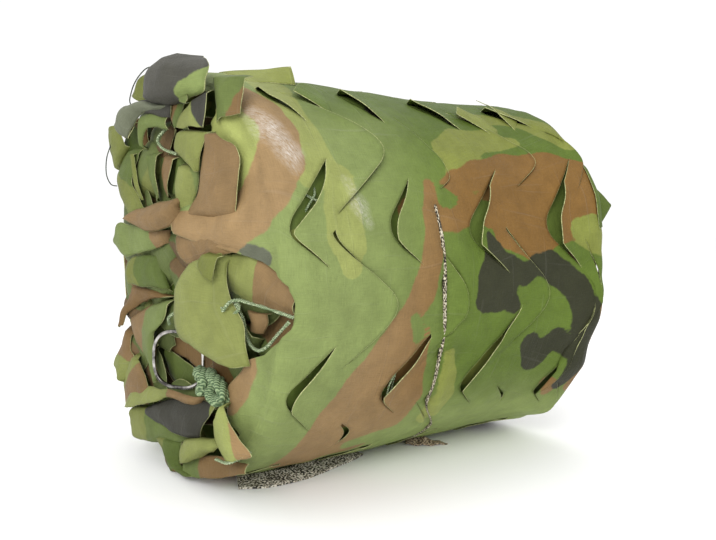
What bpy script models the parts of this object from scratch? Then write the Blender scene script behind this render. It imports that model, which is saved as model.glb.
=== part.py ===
"""A leaf-cut camouflage net, rolled up and tied with a webbing tape.

The roll lies on its side along X, with its crumpled end at -X. It is one
solid: the wound barrel with its rows of leaf cuts, and the cloth leaves that
stick out of both ends. The tape, the steel ring with its cord knot and the
stretch of mesh twine that shows in the mouth of the roll are solids of their
own.

Everything is laid out about the roll's axis, in millimetres and degrees, and
is moved onto the floor at the end. An angle around the roll is 0 on the
front (-Y) and 90 on top.
"""
import math
import random
from collections import namedtuple

import bmesh
import bpy
from mathutils import Vector

MM = 0.001

# Driving dimensions of the roll.
ROLL_RADIUS = 140.0
NEAR_EDGE = -147.0          # where the wrapped cloth ends, at the crumpled end
FAR_EDGE = 125.0
AXIS_HEIGHT = 136.7         # less than the radius, which leaves the flat spot
NEAR_SHOULDER = 17.0
FAR_SHOULDER = 9.0

# The leaf cuts run in zigzag lines around the roll.
TURNS = 16                  # turning points of one line, two to a leaf
TURN_ANGLE = 360.0 / TURNS
FIRST_TURN = -4.5
CUT_PITCH = 70.0
LEFT_LINE = -119.0          # mean place of the first line whose cuts open left
RIGHT_LINE = -94.0          # mean place of the first line whose cuts open right
ZIGZAG = 22.0
PITCHES = 4
CUT_SPAN = 0.64             # share of a half leaf that is cut through
CUT_DEPTH = 7.0
CUT_WIDTH = 4.0
LIP_WIDTH = 0.6
LEAF_LIFT = 2.5
TOP_TURN = 3                # the leaves at this turning point stand up
TOP_LIFT = 8.0
ROWS_PER_TURN = 4

# The crumpled end leans out to the back, and its leaves stand on this plane.
LEAN = 0.15
LEAF_PLANE = -158.0
NEAR_FLOOR = -143.0
LEAF_ROOT = -116.0
FAR_FLOOR = 119.0
FAR_LEAVES = 13
FAR_REACH = 136.0

# Tie tape, ring, cord knot and twine.
TAPE_WIDTH = 18.0
TAPE_THICK = 1.6
TAPE_SUNK = 11.0
TAPE_PROUD = 1.6
BAND_STEPS = 60
TAIL_PLACES = ((-18, -45), (-45, -50), (-72, -56), (-98, -59), (-118, -56), (-134, -50))
TAIL_WIDTHS = (14, 17, 18, 18, 18, 16)
LOOP_PLACES = ((28, -47), (33, -52), (38, -57), (42, -62))
LOOP_WIDTHS = (18, 22, 20, 9)
LOOP_THICK = 2.8
RING_WIDTH = 42.0
RING_HEIGHT = 41.0
RING_WIRE = 3.2
RING_SQUARE = 2.7           # 2 is an ellipse, more is squarer
RING_PLACE = (-159.3, -14.0, -54.5)
RING_TURN = 34.0            # how far its face turns from the end to the front
KNOT_LOBES = (((-150.5, -32.0, -69.5), (7.0, 8.0, 9.5)), ((-149.0, -43.5, -71.5), (7.0, 8.0, 9.5)))
TWINE = 2.2
TWINE_ROUTE = (            # places the twine passes, in and out of the roll's mouth
    (-155.0, -78.0, -16.0), (-149.0, -87.0, -10.0), (-143.5, -108.0, -12.0), (-139.5, -123.5, -15.5),
    (-139.0, -124.0, -21.0), (-142.5, -112.0, -31.0), (-147.0, -98.0, -40.0),
    (-149.0, -91.0, -36.0), (-150.0, -89.5, -22.0), (-151.5, -87.0, -14.5),
)
GAP = 0.4                   # clear space around a piece that sits in the roll

# Where the whole part's box is centred, measured from the roll's axis.
CENTRE = (-22.15, -0.2)

# Turning points that a fold or the tape pulls away from the even pattern:
# line, turning point, place along the roll, angle.
Pulled = namedtuple("Pulled", "line turn x angle")
LEFT_PULLED = (
    Pulled(0, 1, -141, 14), Pulled(0, 15, -138, -27), Pulled(0, 3, -125, 66),
    Pulled(1, 1, -70, 18), Pulled(1, 15, -67, -30), Pulled(1, 3, -62, 63),
    Pulled(2, 1, -3, 20), Pulled(2, 15, 4, -31), Pulled(2, 3, 0, 63),
    Pulled(3, 1, 67, 19), Pulled(3, 15, 88, -37), Pulled(3, 3, 76, 63),
)
RIGHT_PULLED = (
    Pulled(0, 0, -72, -3), Pulled(0, 2, -65, 36), Pulled(0, 14, -85, -44),
    Pulled(1, 0, -20, -2), Pulled(1, 2, -16, 29), Pulled(1, 14, -8, -50),
    Pulled(2, 0, 53, 1), Pulled(2, 2, 76, 36), Pulled(2, 14, 62, -43),
    Pulled(3, 0, 120, -3), Pulled(3, 2, 119, 35), Pulled(3, 14, 118, -46), Pulled(3, 15, 103, -36),
)

# Leaves of the crumpled end. A leaf runs from foot to tip through its belly,
# each a (y, z) place on the leaning plane, with its width and its height off
# the plane there. across is the direction of the width at foot and tip, tilt
# is how much the +Y edge stands higher, and cup how far the middle bulges.
Leaf = namedtuple("Leaf", "name foot belly tip width height across tilt cup")
NEAR_LEAVES = (
    Leaf("shoulder_light", (-72, 106), (-77, 79), (-73, 45), (58, 66, 59), (-4, -4, -4), (5, -5), -4, 3),
    Leaf("shoulder_panel", (-72, 131), (-74, 118), (-72, 102), (44, 41, 36), (1, 2, 0), (10, 0), -3, 3),
    Leaf("dome", (1, 118), (-20, 134), (-9, 152), (48, 68, 31), (2, 6, -6), (15, 10), 5, 8),
    Leaf("curled_strip", (-17, 119), (24, 115), (52, 105), (7, 10, 12), (7, 10, 9), (125, 80), 3, 4),
    Leaf("side_tab", (78, 109), (80, 96), (85, 80), (18, 14, 3), (0, 0, -1), (10, 40), 4, 2),
    Leaf("arch_fold", (27, 90), (16, 106), (-6, 111), (4, 9, 15), (4, 5, 3), (40, 125), 5, 3),
    Leaf("arch_floor", (34, 112), (40, 98), (36, 84), (46, 49, 49), (-8, -10, -8), (0, 5), 0, -3),
    Leaf("crown_leaf", (-50, 117), (-47, 107), (-40, 97), (19, 19, 29), (6, 6, 6), (-15, 10), 6, 2),
    Leaf("crown_leaf_low", (-38, 97), (-38, 83), (-42, 72), (30, 19, 4), (6, 7, 4), (10, 5), 5, 3),
    Leaf("wedge_leaf", (-26, 115), (-20, 109), (-12, 100), (22, 13, 3), (6, 6, 5), (5, 5), 0, 1),
    Leaf("brown_tongue", (-56, 43), (-64, 77), (-64, 90), (48, 36, 16), (2, 5, 6), (0, 5), 3, 4),
    Leaf("pleat_back", (75, 53), (74, 80), (64, 95), (24, 14, 5), (-3, -1, -2), (55, 0), 4, 2),
    Leaf("pleat_mid", (52, 45), (53, 71), (38, 92), (20, 16, 10), (-4, 0, 2), (0, 0), 5, 2),
    Leaf("pleat_front", (5, 47), (4, 68), (6, 88), (24, 24, 36), (-1, 2, 4), (5, 5), 1, 3),
    Leaf("strip_leaf", (-19, 40), (-30, 59), (-30, 73), (17, 17, 17), (4, 4, 2), (-25, 15), 3, 2),
    Leaf("under_bulge", (-23, 17), (-12, 8), (-1, -10), (70, 73, 40), (-4, -4, -6), (5, 10), 0, -2),
    Leaf("brown_bulge", (-81, 28), (-40, 27), (-6, 24), (28, 30, 16), (1, 6, 4), (90, 95), 2, 6),
    Leaf("brown_loop", (-22, 43), (8, 42), (39, 42), (16, 18, 5), (8, 11, 6), (70, 75), 1, 6),
    Leaf("left_leaf", (2, 28), (39, 27), (72, 23), (15, 24, 6), (4, 5, 5), (120, 120), 3, 2),
    Leaf("olive_leaf", (41, 12), (40, -10), (66, -38), (38, 40, 6), (-2, 0, 4), (-5, -30), 5, 3),
    Leaf("deep_leaf", (6, 11), (10, -8), (11, -36), (48, 51, 36), (-8, -9, -8), (0, 0), 0, -2),
    Leaf("green_backing", (3, -34), (7, -57), (8, -79), (50, 56, 65), (-9, -9, -6), (0, -5), 1, -1),
    Leaf("crease_leaf", (13, -14), (28, -39), (18, -75), (27, 35, 8), (1, 5, 4), (-10, -30), 4, 3),
    Leaf("tail_leaf", (66, -45), (66, -72), (53, -94), (13, 24, 31), (-3, 0, 1), (5, -20), 4, 3),
    Leaf("ring_leaf", (-36, -55), (-8, -50), (16, -41), (24, 24, 6), (-9, -4, 3), (-55, -55), 1, 2),
    Leaf("round_leaf", (-62, 18), (-54, -8), (-74, -47), (27, 46, 33), (3, 8, 8), (-10, 0), 4, 4),
    Leaf("hem_band", (58, -96), (12, -81), (-41, -73), (12, 14, 5), (6, 8, 4), (105, 115), 2, 2),
    Leaf("black_leaf", (33, -95), (-22, -89), (-56, -85), (16, 26, 23), (3, 6, 4), (45, 100), 3, 4),
    Leaf("yellow_leaf", (-19, -102), (13, -104), (53, -111), (13, 24, 25), (-1, 2, 2), (105, 100), 3, 3),
    Leaf("rolled_cone", (-58, -108), (-33, -113), (-14, -121), (7, 16, 8), (4, 6, 4), (120, 110), 2, 4),
    Leaf("under_leaf", (11, -116), (2, -121), (-29, -122), (34, 31, 48), (-4, -4, -2), (-10, -5), 3, 2),
    Leaf("pale_leaf", (-64, -79), (-77, -95), (-85, -106), (8, 27, 27), (0, 3, 2), (-10, -25), 3, 4),
)
LEAF_STEPS = 3
LEAF_CELLS = 2

# Colours of the sub-parts.
CLOTH_GREEN = (0.27, 0.36, 0.14, 1.0)
TAPE_GREY = (0.36, 0.34, 0.29, 1.0)
CORD_GREEN = (0.22, 0.36, 0.20, 1.0)
TWINE_GREEN = (0.42, 0.50, 0.30, 1.0)
STEEL = (0.55, 0.55, 0.54, 1.0)


def clear_scene():
    """Remove the default scene's objects."""
    for thing in list(bpy.data.objects):
        bpy.data.objects.remove(thing, do_unlink=True)


def collection(name):
    """A new collection in the scene."""
    made = bpy.data.collections.new(name)
    bpy.context.scene.collection.children.link(made)
    return made


def material(name, colour, roughness, metallic=0.0):
    """A Principled material."""
    made = bpy.data.materials.new(name)
    made.use_nodes = True
    shader = made.node_tree.nodes["Principled BSDF"]
    shader.inputs["Base Color"].default_value = colour
    shader.inputs["Roughness"].default_value = roughness
    shader.inputs["Metallic"].default_value = metallic
    return made


def floor_place(point):
    """A place about the roll's axis, in mm, as metres on the floor."""
    x, y, z = point
    return Vector((x - CENTRE[0], y - CENTRE[1], z + AXIS_HEIGHT)) * MM


def mesh_object(name, bm, home, finish=None):
    """Turn a bmesh that is laid out about the axis into an object on the floor."""
    for vert in bm.verts:
        vert.co = floor_place(vert.co)
    bmesh.ops.triangulate(bm, faces=bm.faces)
    bmesh.ops.recalc_face_normals(bm, faces=bm.faces)
    mesh = bpy.data.meshes.new(name)
    bm.to_mesh(mesh)
    bm.free()
    if finish:
        mesh.materials.append(finish)
    made = bpy.data.objects.new(name, mesh)
    home.objects.link(made)
    return made


def mark_cutter(thing):
    """Show a cutter as wire and keep it out of the model."""
    thing.hide_render = True
    thing.display_type = "WIRE"
    return thing


# ---------------------------------------------------------------- the barrel

def turning_point(side, line, turn):
    """Place and angle of one turning point of a zigzag line."""
    mean = (LEFT_LINE if side == "left" else RIGHT_LINE) + CUT_PITCH * line
    pulled = LEFT_PULLED if side == "left" else RIGHT_PULLED
    for row in pulled:
        if row.line == line and row.turn == turn % TURNS:
            angle = row.angle + 360.0 * math.floor((turn + 2) / TURNS)
            return row.x, angle
    lean = ZIGZAG if turn % 2 == 0 else -ZIGZAG
    return min(mean + lean, FAR_EDGE - 5.0), FIRST_TURN + TURN_ANGLE * turn


def on_line(side, line, row):
    """Place, angle and cut share of a zigzag line at one row of the barrel."""
    turn, step = divmod(row, ROWS_PER_TURN)
    share = step / ROWS_PER_TURN
    x0, a0 = turning_point(side, line, turn)
    x1, a1 = turning_point(side, line, turn + 1)
    eased = 0.6 * share + 0.4 * share * share * (3 - 2 * share)
    cut_turn = turn if (turn % 2 == 0) == (side == "right") else turn + 1
    away = abs(turn + share - cut_turn)
    cut = max(0.0, 1.0 - (away / CUT_SPAN) ** 2)
    return x0 + (x1 - x0) * eased, a0 + (a1 - a0) * share, cut


def leaf_lift(line, row):
    """How far a leaf stands off the roll at a left-opening cut."""
    turn = int(round(row / ROWS_PER_TURN)) % TURNS
    if turn in (TOP_TURN, TOP_TURN + 1):
        return TOP_LIFT
    chance = random.Random(31 * line + turn)
    return LEAF_LIFT * chance.uniform(0.2, 1.6)


def barrel_columns():
    """Each column of the barrel as a function from row to (x, angle, height)."""
    columns = [lambda row: (NEAR_EDGE + NEAR_SHOULDER * 0.35, FIRST_TURN + TURN_ANGLE * row / ROWS_PER_TURN, 0.0)]

    def left_column(line, offset, height):
        def column(row):
            x, angle, cut = on_line("left", line, row)
            return x + offset * (0.15 + 0.85 * cut), angle, height(line, row) * cut
        return column

    def right_column(line, offset, height):
        def column(row):
            x, angle, cut = on_line("right", line, row)
            return x + offset, angle, height * cut
        return column

    def between(first, second, share, puff):
        def column(row):
            x0, a0, h0 = first(row)
            x1, a1, h1 = second(row)
            blend = (h0 + h1) * 0.5 + puff
            return x0 + (x1 - x0) * share, a0 + (a1 - a0) * share, blend
        return column

    for line in range(PITCHES):
        columns.append(left_column(line, -CUT_WIDTH, lambda line, row: 0.8))
        columns.append(left_column(line, 0.0, lambda line, row: -CUT_DEPTH))
        columns.append(left_column(line, CUT_WIDTH, leaf_lift))
        columns.append(right_column(line, -LIP_WIDTH, 3.2))
        columns.append(right_column(line, LIP_WIDTH, -2.2))
        if line < PITCHES - 1:
            following = left_column(line + 1, -CUT_WIDTH, lambda line, row: 0.8)
            columns.append(between(columns[-1], following, 0.5, 0.8))
    columns.append(lambda row: (FAR_EDGE - 1.0, FIRST_TURN + TURN_ANGLE * row / ROWS_PER_TURN, -1.5))
    return columns


def lumps(angle, x):
    """Slow unevenness of the wound roll."""
    turn = math.radians(angle)
    return 1.3 * math.sin(2 * turn + 0.6) + 0.9 * math.sin(3 * turn + 0.02 * x)


def shoulder(x):
    """How far the barrel draws in near its ends."""
    drop = 0.0
    near = NEAR_EDGE + NEAR_SHOULDER - x
    if near > 0:
        drop = NEAR_SHOULDER * (1 - math.sqrt(max(0.0, 1 - (near / (NEAR_SHOULDER + 3)) ** 2)))
    far = x - (FAR_EDGE - FAR_SHOULDER)
    if far > 0:
        drop = max(drop, FAR_SHOULDER * (1 - math.sqrt(max(0.0, 1 - (far / (FAR_SHOULDER + 1)) ** 2))))
    return drop


def barrel_row(columns, row):
    """One row of the barrel, with its columns kept in order and apart."""
    places = [column(row) for column in columns]
    along = [place[0] for place in places]
    for index in range(1, len(along)):
        along[index] = max(along[index], along[index - 1] + LIP_WIDTH)
    for index in range(len(along) - 2, 0, -1):
        along[index] = min(along[index], min(along[index + 1], FAR_EDGE) - LIP_WIDTH)
    return [barrel_point(x, angle, height) for x, (_, angle, height) in zip(along, places)]


def barrel_point(x, angle, height):
    """A point of the barrel, flattened where it meets the floor."""
    radius = ROLL_RADIUS + height + lumps(angle, x) - shoulder(x)
    turn = math.radians(angle)
    return Vector((x, -radius * math.cos(turn), max(radius * math.sin(turn), -AXIS_HEIGHT)))


def end_ring(side, share, row):
    """A point of an end face: share is its distance from the axis, 0 to 1."""
    angle = FIRST_TURN + TURN_ANGLE * row / ROWS_PER_TURN
    turn = math.radians(angle)
    radius = ROLL_RADIUS * share
    y = -radius * math.cos(turn)
    z = max(radius * math.sin(turn), -AXIS_HEIGHT)
    wound = 3.5 * math.sin(2 * math.pi * (5 * share - angle / 360.0))
    if side == "near":
        inner = NEAR_FLOOR - LEAN * y + wound
        blend = min(1.0, max(0.0, (0.93 - share) / 0.1))
        return Vector((NEAR_EDGE + (inner - NEAR_EDGE) * blend, y, z))
    blend = min(1.0, max(0.0, (0.93 - share) / 0.12))
    return Vector((FAR_EDGE + (FAR_FLOOR + wound - FAR_EDGE) * blend, y, z))


def make_barrel(home, finish):
    """The wound barrel, from a sphere with one ring for each column."""
    rows = TURNS * ROWS_PER_TURN
    columns = barrel_columns()
    near_shares = (0.16, 0.34, 0.52, 0.68, 0.83, 0.92)
    far_shares = (0.92, 0.80, 0.64, 0.46, 0.28, 0.12)
    lines = []
    for row in range(rows):
        near = [end_ring("near", share, row) for share in near_shares]
        far = [end_ring("far", share, row) for share in far_shares]
        lines.append(near + barrel_row(columns, row) + far)
    rings = len(lines[0])

    bm = bmesh.new()
    bmesh.ops.create_uvsphere(bm, u_segments=rows, v_segments=rings + 1, radius=1.0)
    for vert in bm.verts:
        polar = math.acos(max(-1.0, min(1.0, vert.co.z)))
        ring = int(round(polar / math.pi * (rings + 1))) - 1
        row = int(round(math.atan2(vert.co.y, vert.co.x) / (2 * math.pi) * rows)) % rows
        if ring < 0:
            vert.co = Vector((NEAR_FLOOR, 0.0, 0.0))
        elif ring >= rings:
            vert.co = Vector((FAR_FLOOR, 0.0, 0.0))
        else:
            vert.co = lines[row][ring]
    return mesh_object("net_roll", bm, home, finish)


# ---------------------------------------------------------------- end leaves

def through(start, middle, end, share):
    """A smooth way through three values, with the middle one at a half."""
    rise = 2 * middle - 0.5 * (start + end)
    return (1 - share) ** 2 * start + 2 * share * (1 - share) * rise + share ** 2 * end


def leaf_point(leaf, along, across):
    """A point of a near leaf: along 0 to 1 from foot to tip, across -1 to 1."""
    y = through(leaf.foot[0], leaf.belly[0], leaf.tip[0], along)
    z = through(leaf.foot[1], leaf.belly[1], leaf.tip[1], along)
    half = 0.5 * max(1.0, through(*leaf.width, along))
    lift = through(*leaf.height, along) + 0.5 * leaf.tilt * across + leaf.cup * (1 - across ** 2)
    turn = math.radians(leaf.across[0] + (leaf.across[1] - leaf.across[0]) * along)
    y += half * across * math.cos(turn)
    z += half * across * math.sin(turn)
    z = max(z, -AXIS_HEIGHT + 1.5)
    return Vector((LEAF_PLANE - LEAN * y - lift, y, z))


def leaf_block(name, place, root, lean, home):
    """A leaf as a block that is rooted in the roll, for the union."""
    bm = bmesh.new()
    bmesh.ops.create_grid(bm, x_segments=LEAF_STEPS, y_segments=LEAF_CELLS, size=1.0)
    for vert in bm.verts:
        vert.co = place((vert.co.x + 1) / 2, vert.co.y)
    grown = bmesh.ops.extrude_face_region(bm, geom=bm.faces[:])
    for item in grown["geom"]:
        if isinstance(item, bmesh.types.BMVert):
            item.co.x = root - lean * item.co.y
    mark_cutter(mesh_object(name, bm, home))


def make_far_leaf(index, home):
    """One leaf of the far end: it lies outwards across the end of the roll."""
    chance = random.Random(100 + index)
    angle = math.radians(index * 360.0 / FAR_LEAVES + chance.uniform(-9, 9))
    inner = chance.uniform(62, 84)
    outer = ROLL_RADIUS - chance.uniform(4, 12)
    width = chance.uniform(34, 52)
    reach = FAR_REACH - chance.uniform(0, 7)
    skew = chance.uniform(-14, 14)

    def place(along, across):
        distance = inner + (outer - inner) * along
        half = 0.5 * width * (1.0 - 0.55 * along ** 2)
        side = half * across + skew * along
        y = -distance * math.cos(angle) + side * math.sin(angle)
        z = distance * math.sin(angle) + side * math.cos(angle)
        x = reach - 5.0 * (1 - along) - 2.5 * across ** 2
        return Vector((x, y, max(z, -AXIS_HEIGHT + 1.5)))
    leaf_block(f"far_leaf_{index}", place, FAR_FLOOR - 9.0, 0.0, home)


# --------------------------------------------------------- tape, ring, twine

def tape_line(angle):
    """Where the tie tape crosses the roll at an angle around it."""
    front = ((-90, 30), (-55, 7), (-36, -20.5), (-19, -26.5), (0, -31.4), (20, -33.4), (90, -24), (270, 30))
    for (a0, x0), (a1, x1) in zip(front, front[1:]):
        if angle <= a1:
            share = (angle - a0) / (a1 - a0)
            return x0 + (x1 - x0) * share * share * (3 - 2 * share)
    return front[-1][1]


def band_mesh(grow):
    """Closed ring of four-sided section that follows the tape's line."""
    inner = ROLL_RADIUS - TAPE_SUNK - grow
    outer = ROLL_RADIUS + TAPE_PROUD + (8.0 if grow else 0.0)
    half = TAPE_THICK / 2 + grow
    bm = bmesh.new()
    section = [bm.verts.new((side, radius, 0.0)) for side, radius in
               ((-half, inner), (half, inner), (half, outer), (-half, outer))]
    for first, second in zip(section, section[1:] + section[:1]):
        bm.edges.new((first, second))
    bmesh.ops.spin(bm, geom=bm.edges[:] + bm.verts[:], cent=(0, 0, 0), axis=(1, 0, 0),
                   dvec=(0, 0, 0), angle=2 * math.pi, steps=BAND_STEPS, use_merge=True)
    floor = -AXIS_HEIGHT - (8.0 if grow else -0.6)
    for vert in bm.verts:
        side, y, z = vert.co
        radius = math.hypot(y, z)
        angle = math.degrees(math.atan2(z, -y))
        angle = angle + 360.0 if angle < -90.0 else angle
        turn = math.radians(angle)
        vert.co = Vector((side + tape_line(angle), -radius * math.cos(turn),
                          max(radius * math.sin(turn), floor)))
    return bm


def flat_strip(name, centre, widths, thick, home, finish):
    """A strip of tape lying on the floor along a line of (x, y) places."""
    count = len(centre) - 1
    bm = bmesh.new()
    bmesh.ops.create_grid(bm, x_segments=count, y_segments=1, size=1.0)
    for vert in bm.verts:
        step = int(round((vert.co.x + 1) / 2 * count))
        before, after = centre[max(step - 1, 0)], centre[min(step + 1, count)]
        run = Vector((after[0] - before[0], after[1] - before[1])).normalized()
        side = 0.5 * widths[step] * (1 if vert.co.y > 0 else -1)
        x, y = centre[step]
        vert.co = Vector((x - run.y * side, y + run.x * side, -AXIS_HEIGHT))
    grown = bmesh.ops.extrude_face_region(bm, geom=bm.faces[:])
    for item in grown["geom"]:
        if isinstance(item, bmesh.types.BMVert):
            item.co.z += thick
    return mesh_object(name, bm, home, finish)


def tube(name, points, thick, home, finish, closed=False):
    """A wire or cord through a list of places about the axis."""
    curve = bpy.data.curves.new(name, "CURVE")
    curve.dimensions = "3D"
    curve.bevel_depth = thick / 2 * MM
    curve.bevel_resolution = 2
    curve.use_fill_caps = True
    spline = curve.splines.new("POLY")
    spline.points.add(len(points) - 1)
    for item, point in zip(spline.points, points):
        item.co = (*floor_place(point), 1.0)
    spline.use_cyclic_u = closed
    if finish:
        curve.materials.append(finish)
    made = bpy.data.objects.new(name, curve)
    home.objects.link(made)
    return made


def cutting_tube(name, points, thick, home, closed=False):
    """A tube as a welded mesh, so that it can be a cutter."""
    source = tube(name, points, thick, home, None, closed)
    bpy.context.view_layer.update()
    graph = bpy.context.evaluated_depsgraph_get()
    mesh = bpy.data.meshes.new_from_object(source.evaluated_get(graph))
    bpy.data.objects.remove(source, do_unlink=True)
    bm = bmesh.new()
    bm.from_mesh(mesh)
    bmesh.ops.remove_doubles(bm, verts=bm.verts, dist=0.01 * MM)
    bmesh.ops.recalc_face_normals(bm, faces=bm.faces)
    bm.to_mesh(mesh)
    bm.free()
    made = bpy.data.objects.new(name, mesh)
    home.objects.link(made)
    return mark_cutter(made)


def ring_points():
    """The rounded, slightly square outline of the steel ring."""
    turn = math.radians(RING_TURN)
    wide = Vector((math.sin(turn), -math.cos(turn), 0.0))
    tall = Vector((0.0, 0.0, 1.0))
    points = []
    for step in range(32):
        angle = 2 * math.pi * step / 32
        c, s = math.cos(angle), math.sin(angle)
        u = math.copysign(abs(c) ** (2 / RING_SQUARE), c) * (RING_WIDTH - RING_WIRE) / 2
        v = math.copysign(abs(s) ** (2 / RING_SQUARE), s) * (RING_HEIGHT - RING_WIRE) / 2
        points.append(Vector(RING_PLACE) + wide * u + tall * v)
    return points


def smooth_route(points, parts):
    """A smooth curve through route points, cut into short runs."""
    route = []
    last = len(points) - 1
    for index in range(last):
        p0, p1 = Vector(points[max(index - 1, 0)]), Vector(points[index])
        p2, p3 = Vector(points[index + 1]), Vector(points[min(index + 2, last)])
        for step in range(parts):
            t = step / parts
            route.append(0.5 * (2 * p1 + (p2 - p0) * t + (2 * p0 - 5 * p1 + 4 * p2 - p3) * t * t
                                + (3 * p1 - p0 - 3 * p2 + p3) * t ** 3))
    route.append(Vector(points[last]))
    return route


def ball(name, place, size, grow, home, finish=None):
    """An ellipsoid, for a lobe of the knot or for the space around it."""
    bm = bmesh.new()
    bmesh.ops.create_uvsphere(bm, u_segments=14, v_segments=9, radius=1.0)
    for vert in bm.verts:
        vert.co = Vector([p + (r + grow) * c for p, r, c in zip(place, size, vert.co)])
    return mesh_object(name, bm, home, finish)


def boolean(target, operation, cutter=None, group=None):
    """Add an exact Boolean with one object or a whole collection."""
    made = target.modifiers.new(operation.lower(), "BOOLEAN")
    made.operation = operation
    made.solver = "EXACT"
    if group:
        made.operand_type = "COLLECTION"
        made.collection = group
    else:
        made.object = cutter
    return made


def main():
    clear_scene()
    model = collection("camouflage_net")
    leaves = collection("leaf_blocks")
    channels = collection("channels")
    cutters = collection("cutters")

    cloth = material("printed_cloth", CLOTH_GREEN, 0.75)
    webbing = material("webbing", TAPE_GREY, 0.85)
    steel = material("steel", STEEL, 0.25, 1.0)
    cord = material("cord", CORD_GREEN, 0.8)
    twine = material("twine", TWINE_GREEN, 0.8)

    roll = make_barrel(model, cloth)
    for leaf in NEAR_LEAVES:
        leaf_block(leaf.name, lambda along, across, leaf=leaf: leaf_point(leaf, along, across), LEAF_ROOT, LEAN,
                   leaves)
    for index in range(FAR_LEAVES):
        make_far_leaf(index, leaves)

    mesh_object("tie_band", band_mesh(0.0), model, webbing)
    mark_cutter(mesh_object("band_channel", band_mesh(GAP), channels))
    flat_strip("tie_tail", TAIL_PLACES, TAIL_WIDTHS, TAPE_THICK, model, webbing)
    flat_strip("tie_loop", LOOP_PLACES, LOOP_WIDTHS, LOOP_THICK, model, webbing)

    tube("steel_ring", ring_points(), RING_WIRE, model, steel, closed=True)
    ring_channel = cutting_tube("ring_channel", ring_points(), RING_WIRE + 3 * GAP, channels, closed=True)
    route = smooth_route(TWINE_ROUTE, 4)
    tube("mesh_twine", route, TWINE, model, twine)
    cutting_tube("twine_channel", route, TWINE + 3 * GAP, channels)

    (place, size), (lobe_place, lobe_size) = KNOT_LOBES
    knot = ball("ring_cord", place, size, 0.0, model, cord)
    lobe = mark_cutter(ball("knot_lobe", lobe_place, lobe_size, 0.0, cutters))
    boolean(knot, "UNION", lobe)
    boolean(knot, "DIFFERENCE", ring_channel)
    for index, (place, size) in enumerate(KNOT_LOBES):
        mark_cutter(ball(f"knot_space_{index}", place, size, 1.5 * GAP, channels))

    boolean(roll, "UNION", group=leaves)
    boolean(roll, "DIFFERENCE", group=channels)


if __name__ == "__main__":
    main()
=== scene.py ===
"""A leaf-cut camouflage net, rolled up and tied: its cloth, cords, ring and studio.

The pieces are laid out about the roll's axis, in millimetres and degrees, as
the part itself is: an angle around the roll is 0 on the front (-Y) and 90 on
top. place() puts a point into the frame, in metres.
"""

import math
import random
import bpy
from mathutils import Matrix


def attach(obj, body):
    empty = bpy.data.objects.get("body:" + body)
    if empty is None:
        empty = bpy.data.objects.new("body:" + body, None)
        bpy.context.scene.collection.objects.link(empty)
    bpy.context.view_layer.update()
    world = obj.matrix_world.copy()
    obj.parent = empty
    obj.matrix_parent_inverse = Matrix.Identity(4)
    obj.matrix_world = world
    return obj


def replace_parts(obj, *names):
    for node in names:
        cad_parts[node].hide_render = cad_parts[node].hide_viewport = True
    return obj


bl_info = {
    "name": "Rolled camouflage net",
    "version": (1, 0, 0),
    "blender": (4, 5, 0),
    "location": "View3D > Sidebar > Net",
    "description": "Builds the cloth, cords, ring and studio of a rolled camouflage net",
    "category": "Add Mesh",
}

from collections import namedtuple
from functools import partial

import bmesh
import bpy
import numpy as np
from mathutils import Matrix, Vector, noise

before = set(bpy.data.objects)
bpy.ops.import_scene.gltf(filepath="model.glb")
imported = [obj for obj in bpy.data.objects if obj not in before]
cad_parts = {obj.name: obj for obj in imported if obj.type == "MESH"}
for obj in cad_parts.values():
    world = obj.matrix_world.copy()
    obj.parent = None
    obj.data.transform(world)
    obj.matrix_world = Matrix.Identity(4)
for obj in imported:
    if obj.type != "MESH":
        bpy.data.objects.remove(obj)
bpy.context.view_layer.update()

MM = 0.001

# Sizes that follow the part's solids. They stay as they are when the part does.
CENTRE = (-22.15, -0.2)     # x and y of the frame's origin, from a point on the axis
AXIS_HEIGHT = 136.7         # of the roll's axis above the floor
ROLL_RADIUS = 140.0
NEAR_EDGE = -147.0          # ends of the rolled cloth along the axis
FAR_EDGE = 125.0
NEAR_SHOULDER = 17.0        # how far from each end the roll draws in
FAR_SHOULDER = 9.0
TURNS = 16                  # turning points of a zigzag line of cuts, around the roll
TURN_ANGLE = 360.0 / TURNS
FIRST_TURN = -4.5
CUT_PITCH = 70.0            # between two lines that open the same way
LEFT_LINE = -119.0          # middle of the first line of each kind
RIGHT_LINE = -94.0
ZIGZAG = 22.0               # how far a line swings each way
PITCHES = 4                 # lines of each kind
LEAN = 0.15                 # slope of the crumpled end, across the roll
LEAF_PLANE = -158.0         # where that end lies along the axis
FLOOR_GAP = 0.4

# Where the three directions of a crumple are read in the noise.
CRUMPLE_SHIFTS = ((5.3, 1.7, 9.1), (-8.2, 4.4, 2.9), (3.6, -7.5, -6.3))

# Fineness of the outer turn of cloth.
ROWS_PER_TURN = 20
ROWS = TURNS * ROWS_PER_TURN
WRAP_CELLS = 16             # over the near end
NEAR_CELLS = 8              # from the near edge to the first line
EDGE_CELLS = 6
LEAF_CELLS = 9              # between a left-opening line and the right-opening one after it
BAND_CELLS = 14             # between that and the next left-opening line
CLOTH_SCALE = math.radians(1.0) * ROLL_RADIUS    # mm of cloth in a degree

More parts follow.
